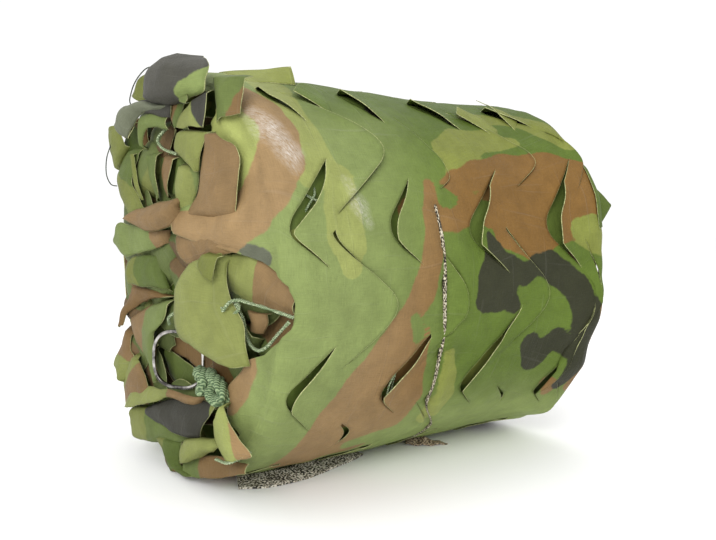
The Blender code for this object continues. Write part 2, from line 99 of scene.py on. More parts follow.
# Leaf cuts. side is where the leaf's tip points, x and angle its place, up and
# down the reach of the cut in turning points, gap how far it stands open, peak
# where along it the gap is widest, and lift how high the leaf's edge stands.
Cut = namedtuple("Cut", "side line turn x angle up down gap peak lift")
CUTS = (
    Cut("left", 0, 1, -141, 14, 0.80, 0.50, 9.0, 0.28, 2.4),
    Cut("left", 1, 1, -73, 14, 0.62, 0.50, 4.5, 0.14, 2.0),
    Cut("left", 2, 1, -8, 13, 0.80, 0.62, 9.0, 0.10, 3.4),
    Cut("left", 3, 1, 68, 14, 0.80, 0.62, 9.0, 0.04, 4.0),
    Cut("left", 0, 2, -101, 38, 0, 0, 0, 0, 0),
    Cut("left", 1, 2, -38, 36, 0, 0, 0, 0, 0),
    Cut("left", 2, 2, 38, 37, 0, 0, 0, 0, 0),
    Cut("left", 0, 15, -138, -27, 0.58, 0.60, 5.0, 0.12, 2.0),
    Cut("left", 1, 15, -67, -30, 0.64, 0.50, 7.0, 0.26, 2.6),
    Cut("left", 2, 15, 5, -32, 0.90, 0.56, 6.5, 0.16, 2.2),
    Cut("left", 3, 15, 88, -39, 0.90, 0.50, 8.0, 0.22, 2.4),
    Cut("left", 0, 3, -129, 59, 0.04, 0.66, 0.0, 0.0, 2.6),
    Cut("left", 1, 3, -62, 63, 0.04, 0.60, 0.0, 0.0, 4.2),
    Cut("left", 2, 3, 0, 63, 0.04, 0.60, 0.0, 0.0, 4.2),
    Cut("left", 3, 3, 76, 63, 0.04, 0.56, 0.0, 0.0, 4.2),
    Cut("right", 0, 1, -113, 14, 0, 0, 0, 0, 0),
    Cut("right", 0, 2, -65, 36, 0.84, 0.85, 2.6, 0.66, 4.2),
    Cut("right", 1, 2, -16, 29, 0.62, 0.40, 0.0, 0.0, 1.6),
    Cut("right", 2, 2, 76, 36, 0.84, 0.55, 2.4, 0.66, 2.4),
    Cut("right", 3, 2, 117, 35, 0.64, 0.60, 0.0, 0.0, 2.6),
    Cut("right", 0, 0, -71, -5, 0.96, 0.66, 3.4, 0.74, 2.8),
    Cut("right", 1, 0, -12, -5, 0.70, 0.60, 3.0, 0.10, 2.6),
    Cut("right", 2, 0, 64, -5, 0.84, 0.62, 3.0, 0.55, 2.6),
    Cut("right", 3, 0, 119, -3, 0.64, 0.64, 6.5, 0.10, 3.0),
    Cut("right", 0, 14, -77, -46, 0.34, 0.30, 5.0, 0.0, 0.6),
    Cut("right", 1, 14, -8, -50, 0.60, 0.50, 0.6, 0.0, 1.2),
    Cut("right", 2, 14, 62, -43, 0.50, 0.50, 4.0, 0.05, 1.4),
    Cut("right", 3, 14, 117, -46, 0.60, 0.50, 0.8, 0.0, 1.2),
    Cut("right", 0, 4, -72, 84, 0.60, 0.66, 0.0, 0.0, 2.0),
)

# Print of the camouflage: strokes of one ink through places on the cloth, each
# with the angle around the roll and the half width there.
Ink = namedtuple("Ink", "x angle half")
STROKES = (
    ("light", Ink(-120, 74, 14), Ink(-116, 62, 12), Ink(-122, 50, 12), Ink(-118, 41, 11),
     Ink(-113, 33, 10)),
    ("light", Ink(-116, 28, 7), Ink(-103, 27, 8), Ink(-106, 19, 11), Ink(-107, 12, 11), Ink(-104, 5, 7)),
    ("light", Ink(-100, 18, 4), Ink(-98, 10, 6)),
    ("light", Ink(-154, 54, 11), Ink(-160, 42, 20), Ink(-170, 32, 21)),
    ("light", Ink(-117, 43, 7), Ink(-120, 35, 9), Ink(-124, 27, 7)),
    ("brown", Ink(-141, 60, 5), Ink(-134, 50, 9), Ink(-131, 41, 10), Ink(-138, 32, 13), Ink(-150, 25, 13),
     Ink(-164, 19, 13), Ink(-185, 14, 15), Ink(-225, 13, 18)),
    ("grey", Ink(-167, 9, 6), Ink(-159, 8, 6)),
    ("brown", Ink(-36, 26, 4), Ink(-38, 18, 6), Ink(-42, 8, 7), Ink(-49, -2, 8), Ink(-61, -11, 10),
     Ink(-72, -17, 11), Ink(-86, -26, 14), Ink(-95, -36, 16), Ink(-100, -47, 17), Ink(-106, -58, 15)),
    ("brown", Ink(-60, -17, 8), Ink(-62, -26, 14), Ink(-54, -34, 16), Ink(-58, -44, 14),
     Ink(-66, -56, 15)),
    ("brown", Ink(-72, -34, 9), Ink(-80, -46, 14), Ink(-84, -56, 14)),
    ("brown", Ink(-44, -13, 4), Ink(-42, -24, 5), Ink(-38, -34, 7), Ink(-42, -44, 8)),
    ("brown", Ink(-22, 26, 4), Ink(-10, 27, 8), Ink(14, 30, 10), Ink(48, 32, 14), Ink(85, 32, 15),
     Ink(112, 28, 12)),
    ("brown", Ink(-16, 20, 4), Ink(8, 19, 10), Ink(40, 20, 17), Ink(84, 22, 18), Ink(116, 20, 13)),
    ("brown", Ink(22, 12, 9), Ink(52, 11, 15), Ink(74, 15, 13), Ink(116, 14, 8), Ink(124, 8, 5)),
    ("light", Ink(-8, 38, 10), Ink(15, 42, 13), Ink(46, 44, 10), Ink(70, 44, 6)),
    ("light", Ink(15, 34, 8), Ink(-8, 31, 7), Ink(-17, 27, 4)),
    ("light", Ink(44, 56, 8), Ink(66, 57, 8), Ink(90, 55, 9), Ink(106, 48, 11), Ink(116, 42, 11)),
    ("light", Ink(97, 13, 10), Ink(112, 12, 13), Ink(121, 9, 9)),
    ("brown", Ink(-36, 17, 6), Ink(-22, 16, 6), Ink(-8, 18, 8)),
    ("black", Ink(20, -3, 8), Ink(33, -8, 5)),
    ("black", Ink(7, 12, 3), Ink(12, 7, 7), Ink(6, 1, 8), Ink(5, -5, 8), Ink(17, -5, 8), Ink(26, 1, 8)),
    ("black", Ink(26, 4, 7), Ink(40, 1, 6), Ink(52, 4, 5), Ink(66, 3, 10), Ink(80, 0, 9), Ink(94, -4, 10),
     Ink(107, -13, 12), Ink(112, -26, 10), Ink(104, -35, 7)),
    ("black", Ink(57, -20, 9), Ink(68, -26, 9), Ink(82, -19, 7), Ink(96, -22, 7)),
    ("light", Ink(-19, -20, 4), Ink(-13, -28, 6), Ink(-8, -36, 8), Ink(-10, -44, 10)),
    ("brown", Ink(93, -35, 6), Ink(97, -38, 6)),
    ("brown", Ink(124, -9, 5), Ink(127, -20, 6), Ink(120, -36, 8)),
    ("brown", Ink(-172, -15, 8), Ink(-171, -22, 10), Ink(-169, -30, 8), Ink(-166, -36, 4)),
)
SCUFFS = (
    ("scuff", Ink(-142, 50, 6), Ink(-137, 42, 9), Ink(-131, 34, 9), Ink(-131, 29, 5)),
    ("scuff", Ink(-99, 27, 4), Ink(-93, 20, 6), Ink(-88, 15, 4)),
)
# Print that covers brown again: a green tongue, a leaf's strip and a pale end.
GREENS = (
    ("green", Ink(-25, 24, 4), Ink(-20, 22, 6)),
    ("green", Ink(100, 51, 8), Ink(112, 43, 10)),
    ("green", Ink(97, 13, 9), Ink(112, 12, 12), Ink(121, 9, 9)),
    ("green", Ink(-54, -9, 4), Ink(-49, -14, 5)),
    ("green", Ink(-66, -53, 8), Ink(-38, -50, 8)),
)
BACK_STROKES = 30
BACK_SEED = 41
INK_NAMES = ("light", "grey", "brown", "black")
LAYERS = INK_NAMES + ("scuff", "cut_edge", "tint", "deep")
UNPRINTED = -9.0            # what an ink's layer holds well outside its strokes

# Leaves of the crumpled end. left and right are a leaf's two edges from root to
# tip, as (y, z) places on the leaning plane; height is how far it stands off
# the plane at its root, middle and tip, tilt how much its right edge stands
# higher, cup how far its middle bulges. inks are the print on it and the one
# past a line, which runs through one place and turns away from the next.
# tint is how light the leaf is drawn: its own tone together with painted light and shade, well under 1 on
# leaves that lie back in shade.
Leaf = namedtuple("Leaf", "name left right height tilt cup inks line tint")
NEAR_LEAVES = (
    Leaf("shoulder_panel", ((-60, 130), (-64, 115), (-68, 100)),
         ((-92, 124), (-91, 112), (-90, 102)),
         (3, 5, 6), -1, 3, ("green", "brown"), (-84, 107, -94, 101), 0.68),
    Leaf("dome", ((16, 122), (14, 132), (11, 140), (3, 147), (-12, 150)),
         ((-18, 115), (-60, 117), (-64, 127), (-58, 135), (-36, 146)),
         (7, 9, -6), 2, 12, ("black", "green"), (-49, 126, -57, 117), 1.12),
    Leaf("slit_fold", ((-25, 127), (-28, 120), (-32, 114)),
         ((-36, 128), (-48, 116), (-47, 112)),
         (12, 12, 12), 4, 1, ("green", "green"), None, 0.8),
    Leaf("crown_top", ((-45, 115), (-35, 107), (-27, 100)),
         ((-65, 118), (-67, 105), (-63, 95)),
         (10, 12, 10), 2, 2, ("light", "black"), (-54, 107, -64, 113), 0.82),
    Leaf("crown_low", ((-26, 98), (-24, 87), (-34, 80), (-50, 71)),
         ((-64, 94), (-62, 90), (-57, 83), (-52, 71)),
         (9, 10, 9), 1, 3, ("light", "light"), None, 0.74),
    Leaf("wedge_leaf", ((-13, 117), (-13, 109), (-18, 100)),
         ((-29, 115), (-28, 109), (-21, 101)),
         (6, 6, 6), 0, 1, ("green", "brown"), (-20, 108, -14, 112), 0.65),
    Leaf("curled_strip", ((-16, 115), (12, 121), (42, 119), (57, 110)),
         ((-13, 113), (7, 114), (26, 110), (43, 99)),
         (8, 11, 9), -3, 4, ("grey", "grey"), None, 1.35),
    # curl_hollow lies inside the curl, darkened as painted shade.
    Leaf("curl_hollow", ((40, 110), (45, 105), (46, 99)),
         ((32, 110), (35, 104), (40, 98)),
         (8, 8, 8), 0, -2, ("brown", "black"), None, 0.35),
    Leaf("arch_fold", ((33, 92), (30, 101), (26, 114), (6, 116), (-9, 113)),
         ((29, 90), (24, 96), (16, 103), (3, 104), (-8, 101)),
         (4, 6, 4), 3, 3, ("green", "green"), None, 0.75),
    # arch_floor lies under the arch, darkened as painted shade.
    Leaf("arch_floor", ((47, 103), (52, 94), (54, 86)),
         ((8, 108), (6, 96), (8, 82)),
         (-8, -8, -8), 0, -3, ("brown", "brown"), None, 0.3),
    Leaf("side_tab", ((83, 78), (90, 92), (93, 110)),
         ((58, 94), (62, 102), (74, 111)),
         (0, 1, 0), 3, 3, ("light", "light"), None, 0.62),
    Leaf("tall_leaf", ((63, 95), (75, 82), (80, 67), (58, 42)),
         ((42, 93), (46, 77), (48, 64), (31, 49)),
         (-2, 0, 2), 4, 3, ("green", "light"), (62, 70, 66, 60), 0.62),
    Leaf("pleat_far", ((55, 90), (50, 78), (46, 64), (38, 54)),
         ((44, 90), (41, 78), (36, 64), (32, 54)),
         (1, 2, 2), 4, 2, ("light", "light"), None, 0.6),
    Leaf("pleat_mid", ((36, 89), (32, 78), (24, 66), (15, 53)),
         ((10, 86), (10, 76), (8, 66), (9, 55)),
         (1, 2, 2), 5, 2, ("green", "green"), None, 0.65),
    Leaf("brown_pleat", ((8, 86), (8, 74), (5, 62), (0, 54)),
         ((-14, 82), (-11, 72), (-7, 62), (-5, 55)),
         (2, 3, 2), 5, 1, ("brown", "brown"), None, 0.75),
    Leaf("small_green", ((-12, 83), (-8, 68), (-5, 58)),
         ((-21, 78), (-19, 69), (-16, 58)),
         (1, 2, 1), 2, 1, ("green", "green"), None, 0.6),
    Leaf("strip_leaf", ((-26, 77), (-23, 66), (-21, 53), (-22, 42)),
         ((-46, 74), (-44, 59), (-39, 51), (-33, 41)),
         (5, 6, 4), -3, 3, ("light", "green"), (-42, 64, -50, 66), 0.8),
    Leaf("brown_loop", ((-30, 55), (-17, 52), (10, 49), (30, 46), (43, 42)),
         ((-28, 44), (-19, 36), (8, 32), (30, 36), (43, 40)),
         (8, 11, 6), 0, 6, ("brown", "brown"), None, 0.85),
    Leaf("left_leaf", ((-3, 34), (14, 33), (41, 37), (60, 39), (70, 28)),
         ((-2, 24), (13, 20), (39, 16), (54, 13), (74, 20)),
         (4, 6, 5), -3, 2, ("green", "brown"), (14, 26, 3, 28), 0.85),
    Leaf("brown_tongue", ((-30, 40), (-47, 57), (-55, 77), (-57, 91)),
         ((-88, 41), (-95, 60), (-95, 80), (-72, 92)),
         (7, 9, 8), 2, 4, ("brown", "brown"), None, 0.82),
    Leaf("olive_leaf", ((14, 16), (34, 14), (50, 12)),
         ((8, -9), (30, -8), (51, -7)),
         (1, 3, 4), 2, 3, ("green", "light"), (40, 6, 50, 2), 0.6),
    Leaf("brown_under", ((60, -5), (68, -20), (70, -26), (72, -42)),
         ((0, -12), (31, -18), (57, -28), (60, -38)),
         (0, 1, 4), 2, 3, ("brown", "brown"), None, 0.62),
    # deep_leaf lies low in the end, darkened as painted shade.
    Leaf("deep_leaf", ((28, 10), (29, 2), (17, -10)),
         ((-16, 11), (-23, 4), (-4, -18)),
         (-4, -4, -4), 0, -2, ("green", "green"), None, 0.45),
    Leaf("crease_leaf", ((63, -30), (45, -48), (29, -60), (17, -75)),
         ((-4, -14), (-1, -29), (13, -41), (14, -74)),
         (2, 5, 4), 3, 3, ("brown", "green"), (27, -33, 13, -37), 0.8),
    Leaf("low_left", ((66, -38), (79, -58), (88, -71), (75, -77)),
         ((56, -44), (56, -57), (50, -63), (64, -82)),
         (0, 1, 3), 2, 3, ("brown", "light"), (76, -63, 77, -71), 0.7),
    Leaf("tail_leaf", ((50, -58), (61, -72), (67, -82), (64, -99)),
         ((44, -58), (26, -73), (20, -80), (18, -84)),
         (3, 5, 4), 3, 3, ("light", "brown"), (53, -78, 43, -88), 0.75),
    Leaf("hem_band", ((-47, -74), (-23, -75), (7, -77), (37, -79)),
         ((-41, -80), (-10, -81), (22, -91), (62, -101)),
         (6, 9, 5), 2, 2, ("light", "brown"), (-9, -79, -26, -77), 0.8),
    Leaf("black_leaf", ((32, -94), (-6, -83), (-38, -77), (-60, -78)),
         ((31, -98), (-2, -103), (-28, -103), (-46, -102)),
         (4, 7, 4), 3, 4, ("black", "light"), (-56, -89, -66, -87), 0.72),
    Leaf("yellow_leaf", ((58, -100), (30, -97), (-6, -103), (-26, -106)),
         ((58, -107), (56, -114), (48, -123), (-13, -111)),
         (1, 2, 2), 0, 3, ("light", "green"), (30, -108, 10, -106), 0.68),
    Leaf("pale_leaf", ((-76, -74), (-67, -84), (-67, -91), (-71, -102), (-76, -110)),
         ((-78, -73), (-86, -78), (-98, -87), (-109, -96), (-104, -101)),
         (8, 12, 10), 4, 3, ("light", "brown"), (-92, -88, -100, -85), 1.08),
    Leaf("cone_one", ((-29, -105), (-22, -116), (-17, -125)),
         ((-62, -98), (-68, -103), (-40, -117)),
         (6, 8, 4), 0, 5, ("light", "light"), None, 0.8),
    Leaf("cone_two", ((22, -115), (10, -122), (-3, -129), (-13, -134)),
         ((-16, -108), (-13, -119), (-14, -127), (-35, -131)),
         (2, 4, 1), 0, 4, ("green", "light"), (5, -122, 14, -120), 0.55),
    Leaf("under_leaf", ((-11, -125), (-37, -116), (-68, -111), (-88, -110)),
         ((-14, -133), (-40, -129), (-65, -124), (-88, -116)),
         (2, 3, 1), 2, 1, ("green", "brown"), (-40, -121, -66, -115), 0.7),
    Leaf("round_leaf", ((-74, 20), (-46, 10), (-30, -12), (-38, -34), (-62, -44), (-92, -47)),
         ((-78, 19), (-77, 4), (-86, -10), (-95, -20), (-98, -32), (-101, -46)),
         (9, 12, 10), -7, 5, ("light", "light"), None, 0.8),
    Leaf("round_top", ((-66, 19), (-62, 12), (-65, 6)),
         ((-79, 18), (-77, 10), (-73, 2)),
         (14, 16, 15), -2, 1, ("light", "light"), None, 0.58),
    Leaf("mouth_leaf", ((-56, 21), (-89, 18), (-122, 12), (-137, -4)),
         ((-60, 2), (-75, -7), (-98, -11), (-133, -16)),
         (1, 2, 0), -4, 3, ("light", "brown"), (-101, 3, -112, -1), 0.82),
    Leaf("pocket", ((-70, -6), (-70, -24), (-72, -44)),
         ((-132, -10), (-128, -24), (-104, -42)),
         (-7, -7, -4), 0, -4, ("brown", "green"), (-89, -30, -86, -36), 0.72),
    Leaf("pocket_fold", ((-84, -14), (-88, -20), (-86, -26)),
         ((-104, -15), (-106, -21), (-100, -27)),
         (-3, -2, -3), 2, 3, ("brown", "brown"), None, 0.85),
    Leaf("ring_brown", ((28, -40), (-6, -37), (-28, -41), (-46, -52)),
         ((26, -52), (4, -57), (-14, -63), (-36, -72)),
         (-6, -9, -10), -3, 1, ("brown", "brown"), None, 0.68),
    Leaf("ring_green", ((22, -50), (5, -55), (-10, -60), (-26, -67)),
         ((26, -60), (17, -74), (0, -79), (-20, -78)),
         (-6, -9, -10), -3, 1, ("green", "green"), None, 0.62),
    # The back leaves lie behind the others, and their low tints are painted shade.
    Leaf("upper_back", ((84, 76), (80, 100), (52, 112)),
         ((16, 76), (16, 100), (10, 118)),
         (-14, -13, -13), 0, 3, ("green", "brown"), (50, 95, 40, 90), 0.35),
    Leaf("left_back", ((70, 60), (72, 20), (58, -30)),
         ((20, 60), (16, 20), (16, -30)),
         (-12, -10, -10), 0, 3, ("green", "brown"), (50, 0, 40, -8), 0.4),
    Leaf("dome_back", ((26, 145), (45, 141), (55, 131)),
         ((20, 142), (28, 134), (32, 124)),
         (-2, -1, -1), 0, 2, ("light", "light"), None, 0.58),
    Leaf("gap_back", ((77, 82), (74, 96), (62, 112)),
         ((34, 84), (36, 98), (36, 114)),
         (-3, -3, -3), 0, 2, ("green", "brown"), (46, 104, 38, 108), 0.42),
    Leaf("low_back", ((62, -76), (60, -90), (56, -104)),
         ((28, -76), (30, -90), (30, -104)),
         (-2, -2, -2), 0, 2, ("green", "green"), None, 0.42),
    Leaf("brown_bulge", ((-66, 36), (-44, 38), (-22, 31)),
         ((-88, 21), (-64, 15), (-36, 12)),
         (5, 8, 8), 2, 3, ("brown", "brown"), None, 0.82),
    Leaf("dome_collar", ((26, 124), (24, 116), (10, 112)),
         ((-16, 120), (-18, 112), (-14, 108)),
         (7, 8, 6), 0, 2, ("black", "black"), None, 0.9),
    # knot_back lies behind the knot, darkened as painted shade.
    Leaf("knot_back", ((-44, -46), (-46, -60), (-46, -78)),
         ((-82, -44), (-84, -60), (-80, -82)),
         (-3, -3, -3), 0, 2, ("brown", "brown"), None, 0.55),
)
NEAR_GRID = (26, 14)

# Leaves made at random. The fillers lie deeper in the near end, wound outwards
# from its middle and kept off the open place behind the ring.
FILLERS = 44
FILLER_SEED = 300
FILLER_SPREAD = 100.0
FILLER_TURN = 2.4
FILLER_MOST_Y = 54.0
OPEN_PLACE = (-20, -55)
OPEN_REACH = 30.0
SPARE_PLACE = (2, -118)
FILLER_INKS = (("green", "brown"), ("light", "green"), ("brown", "green"), ("green", "green"))
FAR_LEAVES = 13
FAR_SEED = 100
FAR_REACH = 136.0
FAR_INKS = (("green", "brown"), ("light", "green"), ("brown", "green"), ("green", "black"))

# The wound edges in each end: where they start along the roll, how deep they
# run, how the end leans, their largest radius and their place in the noise.
Wound = namedtuple("Wound", "edge depth lean largest place")
WOUND_ENDS = (Wound(-140.0, 22.0, LEAN, 114.0, 4.0), Wound(124.0, -20.0, 0.0, 132.0, 9.0))
WOUND_STEPS = 64            # cells to a turn
WOUND_TURNS = 9
WOUND_PITCH = 11.6

# Leaf tips that stand up from the roll, with edges as (x, angle) and heights off
# its surface.
FLAPS = (
    Leaf("crest_flap", ((-132, 80), (-108, 76), (-88, 73)),
         ((-128, 66), (-110, 66), (-92, 66)),
         (0, 2.5, 5), -9.5, 0, ("light", "light"), None, 1.0),
    Leaf("upper_flap", ((-74, 64), (-84, 65), (-96, 62)),
         ((-86, 49), (-98, 53), (-108, 56)),
         (-0.5, 2.4, 4.5), 0, 0, ("green", "green"), None, 0.88),
    Leaf("middle_flap", ((66, 50), (54, 56), (40, 60)),
         ((55, 45), (42, 50), (30, 55)),
         (-0.5, 2.2, 4), 0, 0, ("light", "light"), None, 0.88),
    Leaf("far_flap", ((96, 56), (90, 64), (82, 70)),
         ((82, 49), (80, 56), (80, 63)),
         (-0.5, 2.4, 5), 0, 0, ("light", "light"), None, 0.85),
    Leaf("far_tip", ((117, 33), (128, 28), (139, 21)),
         ((117, 13), (128, 15), (139, 20)),
         (0, 2, 5), 0, 1, ("green", "green"), None, 0.8),
)
ROOT_SHARE = 0.08           # part of a leaf that dips in at its root, and how deep
ROOT_DEPTH = 5.0

# How far the outer turn's near edge wraps over the end (or, below 0, draws back
# along the roll) at angles around it, and how far its far edge flares out.
Profile = namedtuple("Profile", "angle reach")
NEAR_PROFILE = tuple(Profile(*pair) for pair in (
    (-180, -14), (-150, -8), (-110, 4), (-80, 6), (-60, 5), (-50, 8), (-44, 10), (-38, 31), (-30, 42),
    (-20, 31), (-16, 12), (-12, -1), (-8, -6), (-3, -6), (1, -3), (4, 3), (6, 14), (8, 30), (10, 56),
    (12, 88), (14, 104), (18, 106), (21, 95), (24, 66), (30, 56), (36, 48), (42, 40), (48, 30),
    (54, 14), (58, 4), (64, 0), (72, 6), (84, 8), (100, 4), (120, -6), (150, -12), (180, -14),
))
FAR_FLARE = tuple(Profile(*pair) for pair in (
    (-180, 0), (-90, 0), (-70, 1), (-58, 5), (-48, 11), (-38, 9), (-30, 9), (-22, 5), (-12, 8), (-6, 8),
    (0, 5), (6, 5), (14, 8), (24, 11), (36, 12), (48, 10), (58, 8), (68, 4), (80, 2), (100, 0),
    (180, 0),
))
WRAP_BULGE = 7.0            # of the leaf that wraps furthest over the end
BENEATH = 4.6               # how far the turn beneath lies under the outer one
SHUT_GAP = 0.12             # a hair's width, where a cut is shut
OPENING_FADE = {"left": 24.0, "right": 22.0}    # how far the cloth beside a cut moves with it

# Tape, ring, cord and twine, laid out as in the part. TAPE_PLACES are (angle, x)
# places, and TAIL_PLACES and LOOP_ENDS (x, y) places on the floor.
TAPE_PLACES = ((-90, 30), (-55, 7), (-36, -20.5), (-19, -26.5), (0, -31.4), (20, -33.4), (90, -24),
               (270, 30))
TAIL_PLACES = ((-30, -40), (-50, -46), (-75, -53), (-99, -58), (-118, -56), (-134, -50))
TAIL_WIDTHS = (13, 16, 18, 18, 18, 16)
TAIL_CLEAR = 137.5          # radius of the roll above the tail
LOOP_ENDS = ((20.0, -38.0), (43.0, -62.0))
LOOP_WIDTH = 17.0
TAPE_SUNK = 5.0             # how much deeper the tape lies where it is out of sight
RING_WIDTH = 42.0
RING_HEIGHT = 41.0
RING_SQUARE = 2.7
RING_PLACE = (-159.3, -14.0, -54.5)
RING_TURN = 34.0
# The cord's knot, as (y, z, height off the end plane).
KNOT_ROUTE = (
    (-34, -72, -8), (-38, -66, 0), (-43, -59, 6), (-50, -57, 8), (-54, -62, 9), (-51, -69, 9),
    (-45, -67, 4), (-46, -60, 2), (-56, -58, 5), (-64, -58, 9), (-72, -62, 9), (-74, -69, 8),
    (-66, -73, 8), (-58, -69, 7), (-60, -62, 3), (-68, -66, 4), (-74, -74, 2), (-76, -82, -4),
)
# Twines of the net's mesh in the mouth, as (y, z, height off the end plane).
MOUTH_TWINES = (
    ((-83, -15, 13), (-86, -12, 13), (-88, -9, 11), (-92, -8, 8), (-100, -9, 7), (-119, -11, 7),
     (-141, -14, 7)),
    ((-88, -10, 8), (-90, -20, 4), (-91, -29, 3), (-96, -35, 3), (-105, -37, 4), (-115, -33, 5),
     (-126, -25, 6), (-136, -17, 6)),
    ((-87, -8, 7), (-92, -13, 8), (-85, -17, 9), (-80, -13, 12)),
    ((0, 102, 2), (4, 95, 6), (-3, 88, 6), (-13, 84, 2)),
    ((-72, -108, 12), (-86, -107, 13), (-99, -101, 13), (-108, -96, 12)),
    ((-8, -31, 6), (-12, -26, 9), (-19, -22, 9)),
)
# Twines under open cuts, as (x, angle, radius).
CUT_TWINES = (
    ((-127, 24, 135), (-123, 22, 138), (-119, 21, 138), (-117, 19, 135)),
    ((-118, 26, 135), (-121, 23, 138), (-125, 21, 138), (-128, 19, 135)),
    ((-74, 13, 135), (-71, 17, 137.5), (-68, 19, 138), (-64, 22, 135)),
    ((-56, -19, 134), (-60, -24, 137), (-62, -29, 138), (-59, -33, 138), (-58, -30, 137), (-57, -23, 134)),
    ((29, 10, 135), (33, 8, 137.5), (38, 6, 135)),
)
# Dark strings that stand out of the crumpled end, as (y, z, height off the end plane).
STRINGS = (
    ((9, 145, 3), (23, 146, 3), (36, 143, 2), (44, 138, 2), (49, 132, 2), (51, 126, 2), (47, 120, 1)),
    ((82, 98, 2), (92, 88, 1), (93, 76, 1), (86, 68, 1), (74, 66, 2)),
)

# Studio, in the frame's metres: the lamps, where they point, and the camera.
Lamp = namedtuple("Lamp", "name spot size power")
LAMPS = (Lamp("key", (-1.5, -1.3, 1.1), 1.0, 26.0), Lamp("top", (0.2, 0.3, 2.0), 1.6, 10.0))
LAMP_TARGET = (0, 0, 0.13)
STUDIO_LIGHT = 1.06
EYE_SPOT = (-0.32625, -0.4895, 0.1734)
EYE_RUN = (0.5786, 0.8133, -0.0609)
EYE_LENS = 740.0 * 36.0 / 716.0


# ------------------------------------------------------------------ helpers

def place(point):
    """A point about the axis, in mm, as metres in the frame."""
    x, y, z = point
    return Vector((x - CENTRE[0], y - CENTRE[1], z + AXIS_HEIGHT)) * MM


def on_roll(x, angle, radius):
    """A point at an angle around the roll, kept above the floor."""
    turn = math.radians(angle)
    return Vector((x, -radius * math.cos(turn), max(radius * math.sin(turn), FLOOR_GAP - AXIS_HEIGHT)))


def lumps(angle, x):
    """Slow unevenness of the wound roll, as in the part."""
    turn = math.radians(angle)
    return 1.3 * math.sin(2 * turn + 0.6) + 0.9 * math.sin(3 * turn + 0.02 * x)


def shoulder(x):
    """How far the roll draws in near its ends."""
    drop = 0.0
    near = NEAR_EDGE + NEAR_SHOULDER - x
    if near > 0:
        drop = NEAR_SHOULDER * (1 - math.sqrt(max(0.0, 1 - (near / (NEAR_SHOULDER + 3)) ** 2)))
    far = x - (FAR_EDGE - FAR_SHOULDER)
    if far > 0:
        drop = max(drop, FAR_SHOULDER * (1 - math.sqrt(max(0.0, 1 - (far / (FAR_SHOULDER + 1)) ** 2))))
    return drop


def soft_step(value, low, high):
    """0 below low, 1 above high, and a smooth way between them."""
    share = ramp(value, low, high)
    return share * share * (3 - 2 * share)


def ramp(value, low, high):
    """0 below low, 1 above high, and a straight way between them."""
    return min(1.0, max(0.0, (value - low) / (high - low)))


def front_angle(angle, lowest=-180.0):
    """An angle around the roll, brought into the turn that starts at the lowest one."""
    return (angle - lowest) % 360.0 + lowest


def through(start, middle, end, share):
    """A smooth way through three values, with the middle one at a half."""
    rise = 2 * middle - 0.5 * (start + end)
    return (1 - share) ** 2 * start + 2 * share * (1 - share) * rise + share ** 2 * end


def curve_between(p0, p1, p2, p3, t):
    """A place on the smooth curve from p1 to p2, with p0 and p3 the points around them."""
    return 0.5 * (2 * p1 + (p2 - p0) * t + (2 * p0 - 5 * p1 + 4 * p2 - p3) * t * t
                  + (3 * p1 - p0 - 3 * p2 + p3) * t ** 3)


def smooth_route(points, parts):
    """A smooth curve through route points, cut into short runs."""
    route = []
    last = len(points) - 1
    for index in range(last):
        p0, p1 = Vector(points[max(index - 1, 0)]), Vector(points[index])
        p2, p3 = Vector(points[index + 1]), Vector(points[min(index + 2, last)])
        route.extend(curve_between(p0, p1, p2, p3, step / parts) for step in range(parts))
    route.append(Vector(points[last]))
    return route


def off_plane(y, z, height):
    """A place on the leaning end plane, raised by a height."""
    return Vector((LEAF_PLANE - LEAN * y - height, y, z))


def crumple(point, scale, amount):
    """Small folds of cloth, as a push of a point about the axis."""
    spot = Vector(point) / scale
    return Vector([noise.noise(spot + Vector(shift)) for shift in CRUMPLE_SHIFTS]) * amount


def link(name, mesh, finish, slot=None):
    """Link a mesh as a named piece that rides on the roll."""
    mesh.materials.append(finish)
    made = bpy.data.objects.new(name, mesh)
    bpy.context.scene.collection.objects.link(made)
    if slot:
        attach(made, "root")
    return made


def finish_mesh(name, bm, finish, slot=None):
    """Turn a bmesh in the frame's metres into a piece."""
    for face in bm.faces:
        face.smooth = True
    mesh = bpy.data.meshes.new(name)
    bm.to_mesh(mesh)
    bm.free()
    return link(name, mesh, finish, slot)


def thicken(piece, thick):
    """Give a sheet its thickness, in mm, with the rim in its next finish."""
    wall = piece.modifiers.new("thickness", "SOLIDIFY")
    wall.thickness = thick * MM
    wall.offset = 0.0
    wall.use_even_offset = False
    wall.material_offset_rim = 1


def cloth_piece(name, bm, kit, replaced=None):
    """Finish a mesh of cloth as a folded sheet with a frayed rim."""
    piece = finish_mesh(name, bm, kit["printed_cloth"], "net_cloth")
    piece.data.materials.append(kit["frayed_rim"])
    thicken(piece, size_of("cloth"))
    if replaced:
        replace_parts(piece, replaced)


def add_grid(bm, cells, spot):
    """Add a grid whose vertices go where spot(column, row) says.

    It returns them by column and row.
    """
    made = bmesh.ops.create_grid(bm, x_segments=cells[0], y_segments=cells[1], size=1.0)
    found = {}
    for vert in made["verts"]:
        column = int(round((vert.co.x + 1) / 2 * cells[0]))
        row = int(round((vert.co.y + 1) / 2 * cells[1]))
        found[column, row] = vert
    for (column, row), vert in found.items():
        vert.co = place(spot(column, row))
    return found


def write_uv(bm, found, spread):
    """Write the uv of a grid's vertices, spread(column, row) in mm."""
    layers = bm.loops.layers.uv
    uv = layers.get("cloth") or layers.new("cloth")
    for (column, row), vert in found.items():
        across, along = spread(column, row)
        for loop in vert.link_loops:
            loop[uv].uv = (across * MM, along * MM)


# -------------------------------------------------------------- leaf pattern

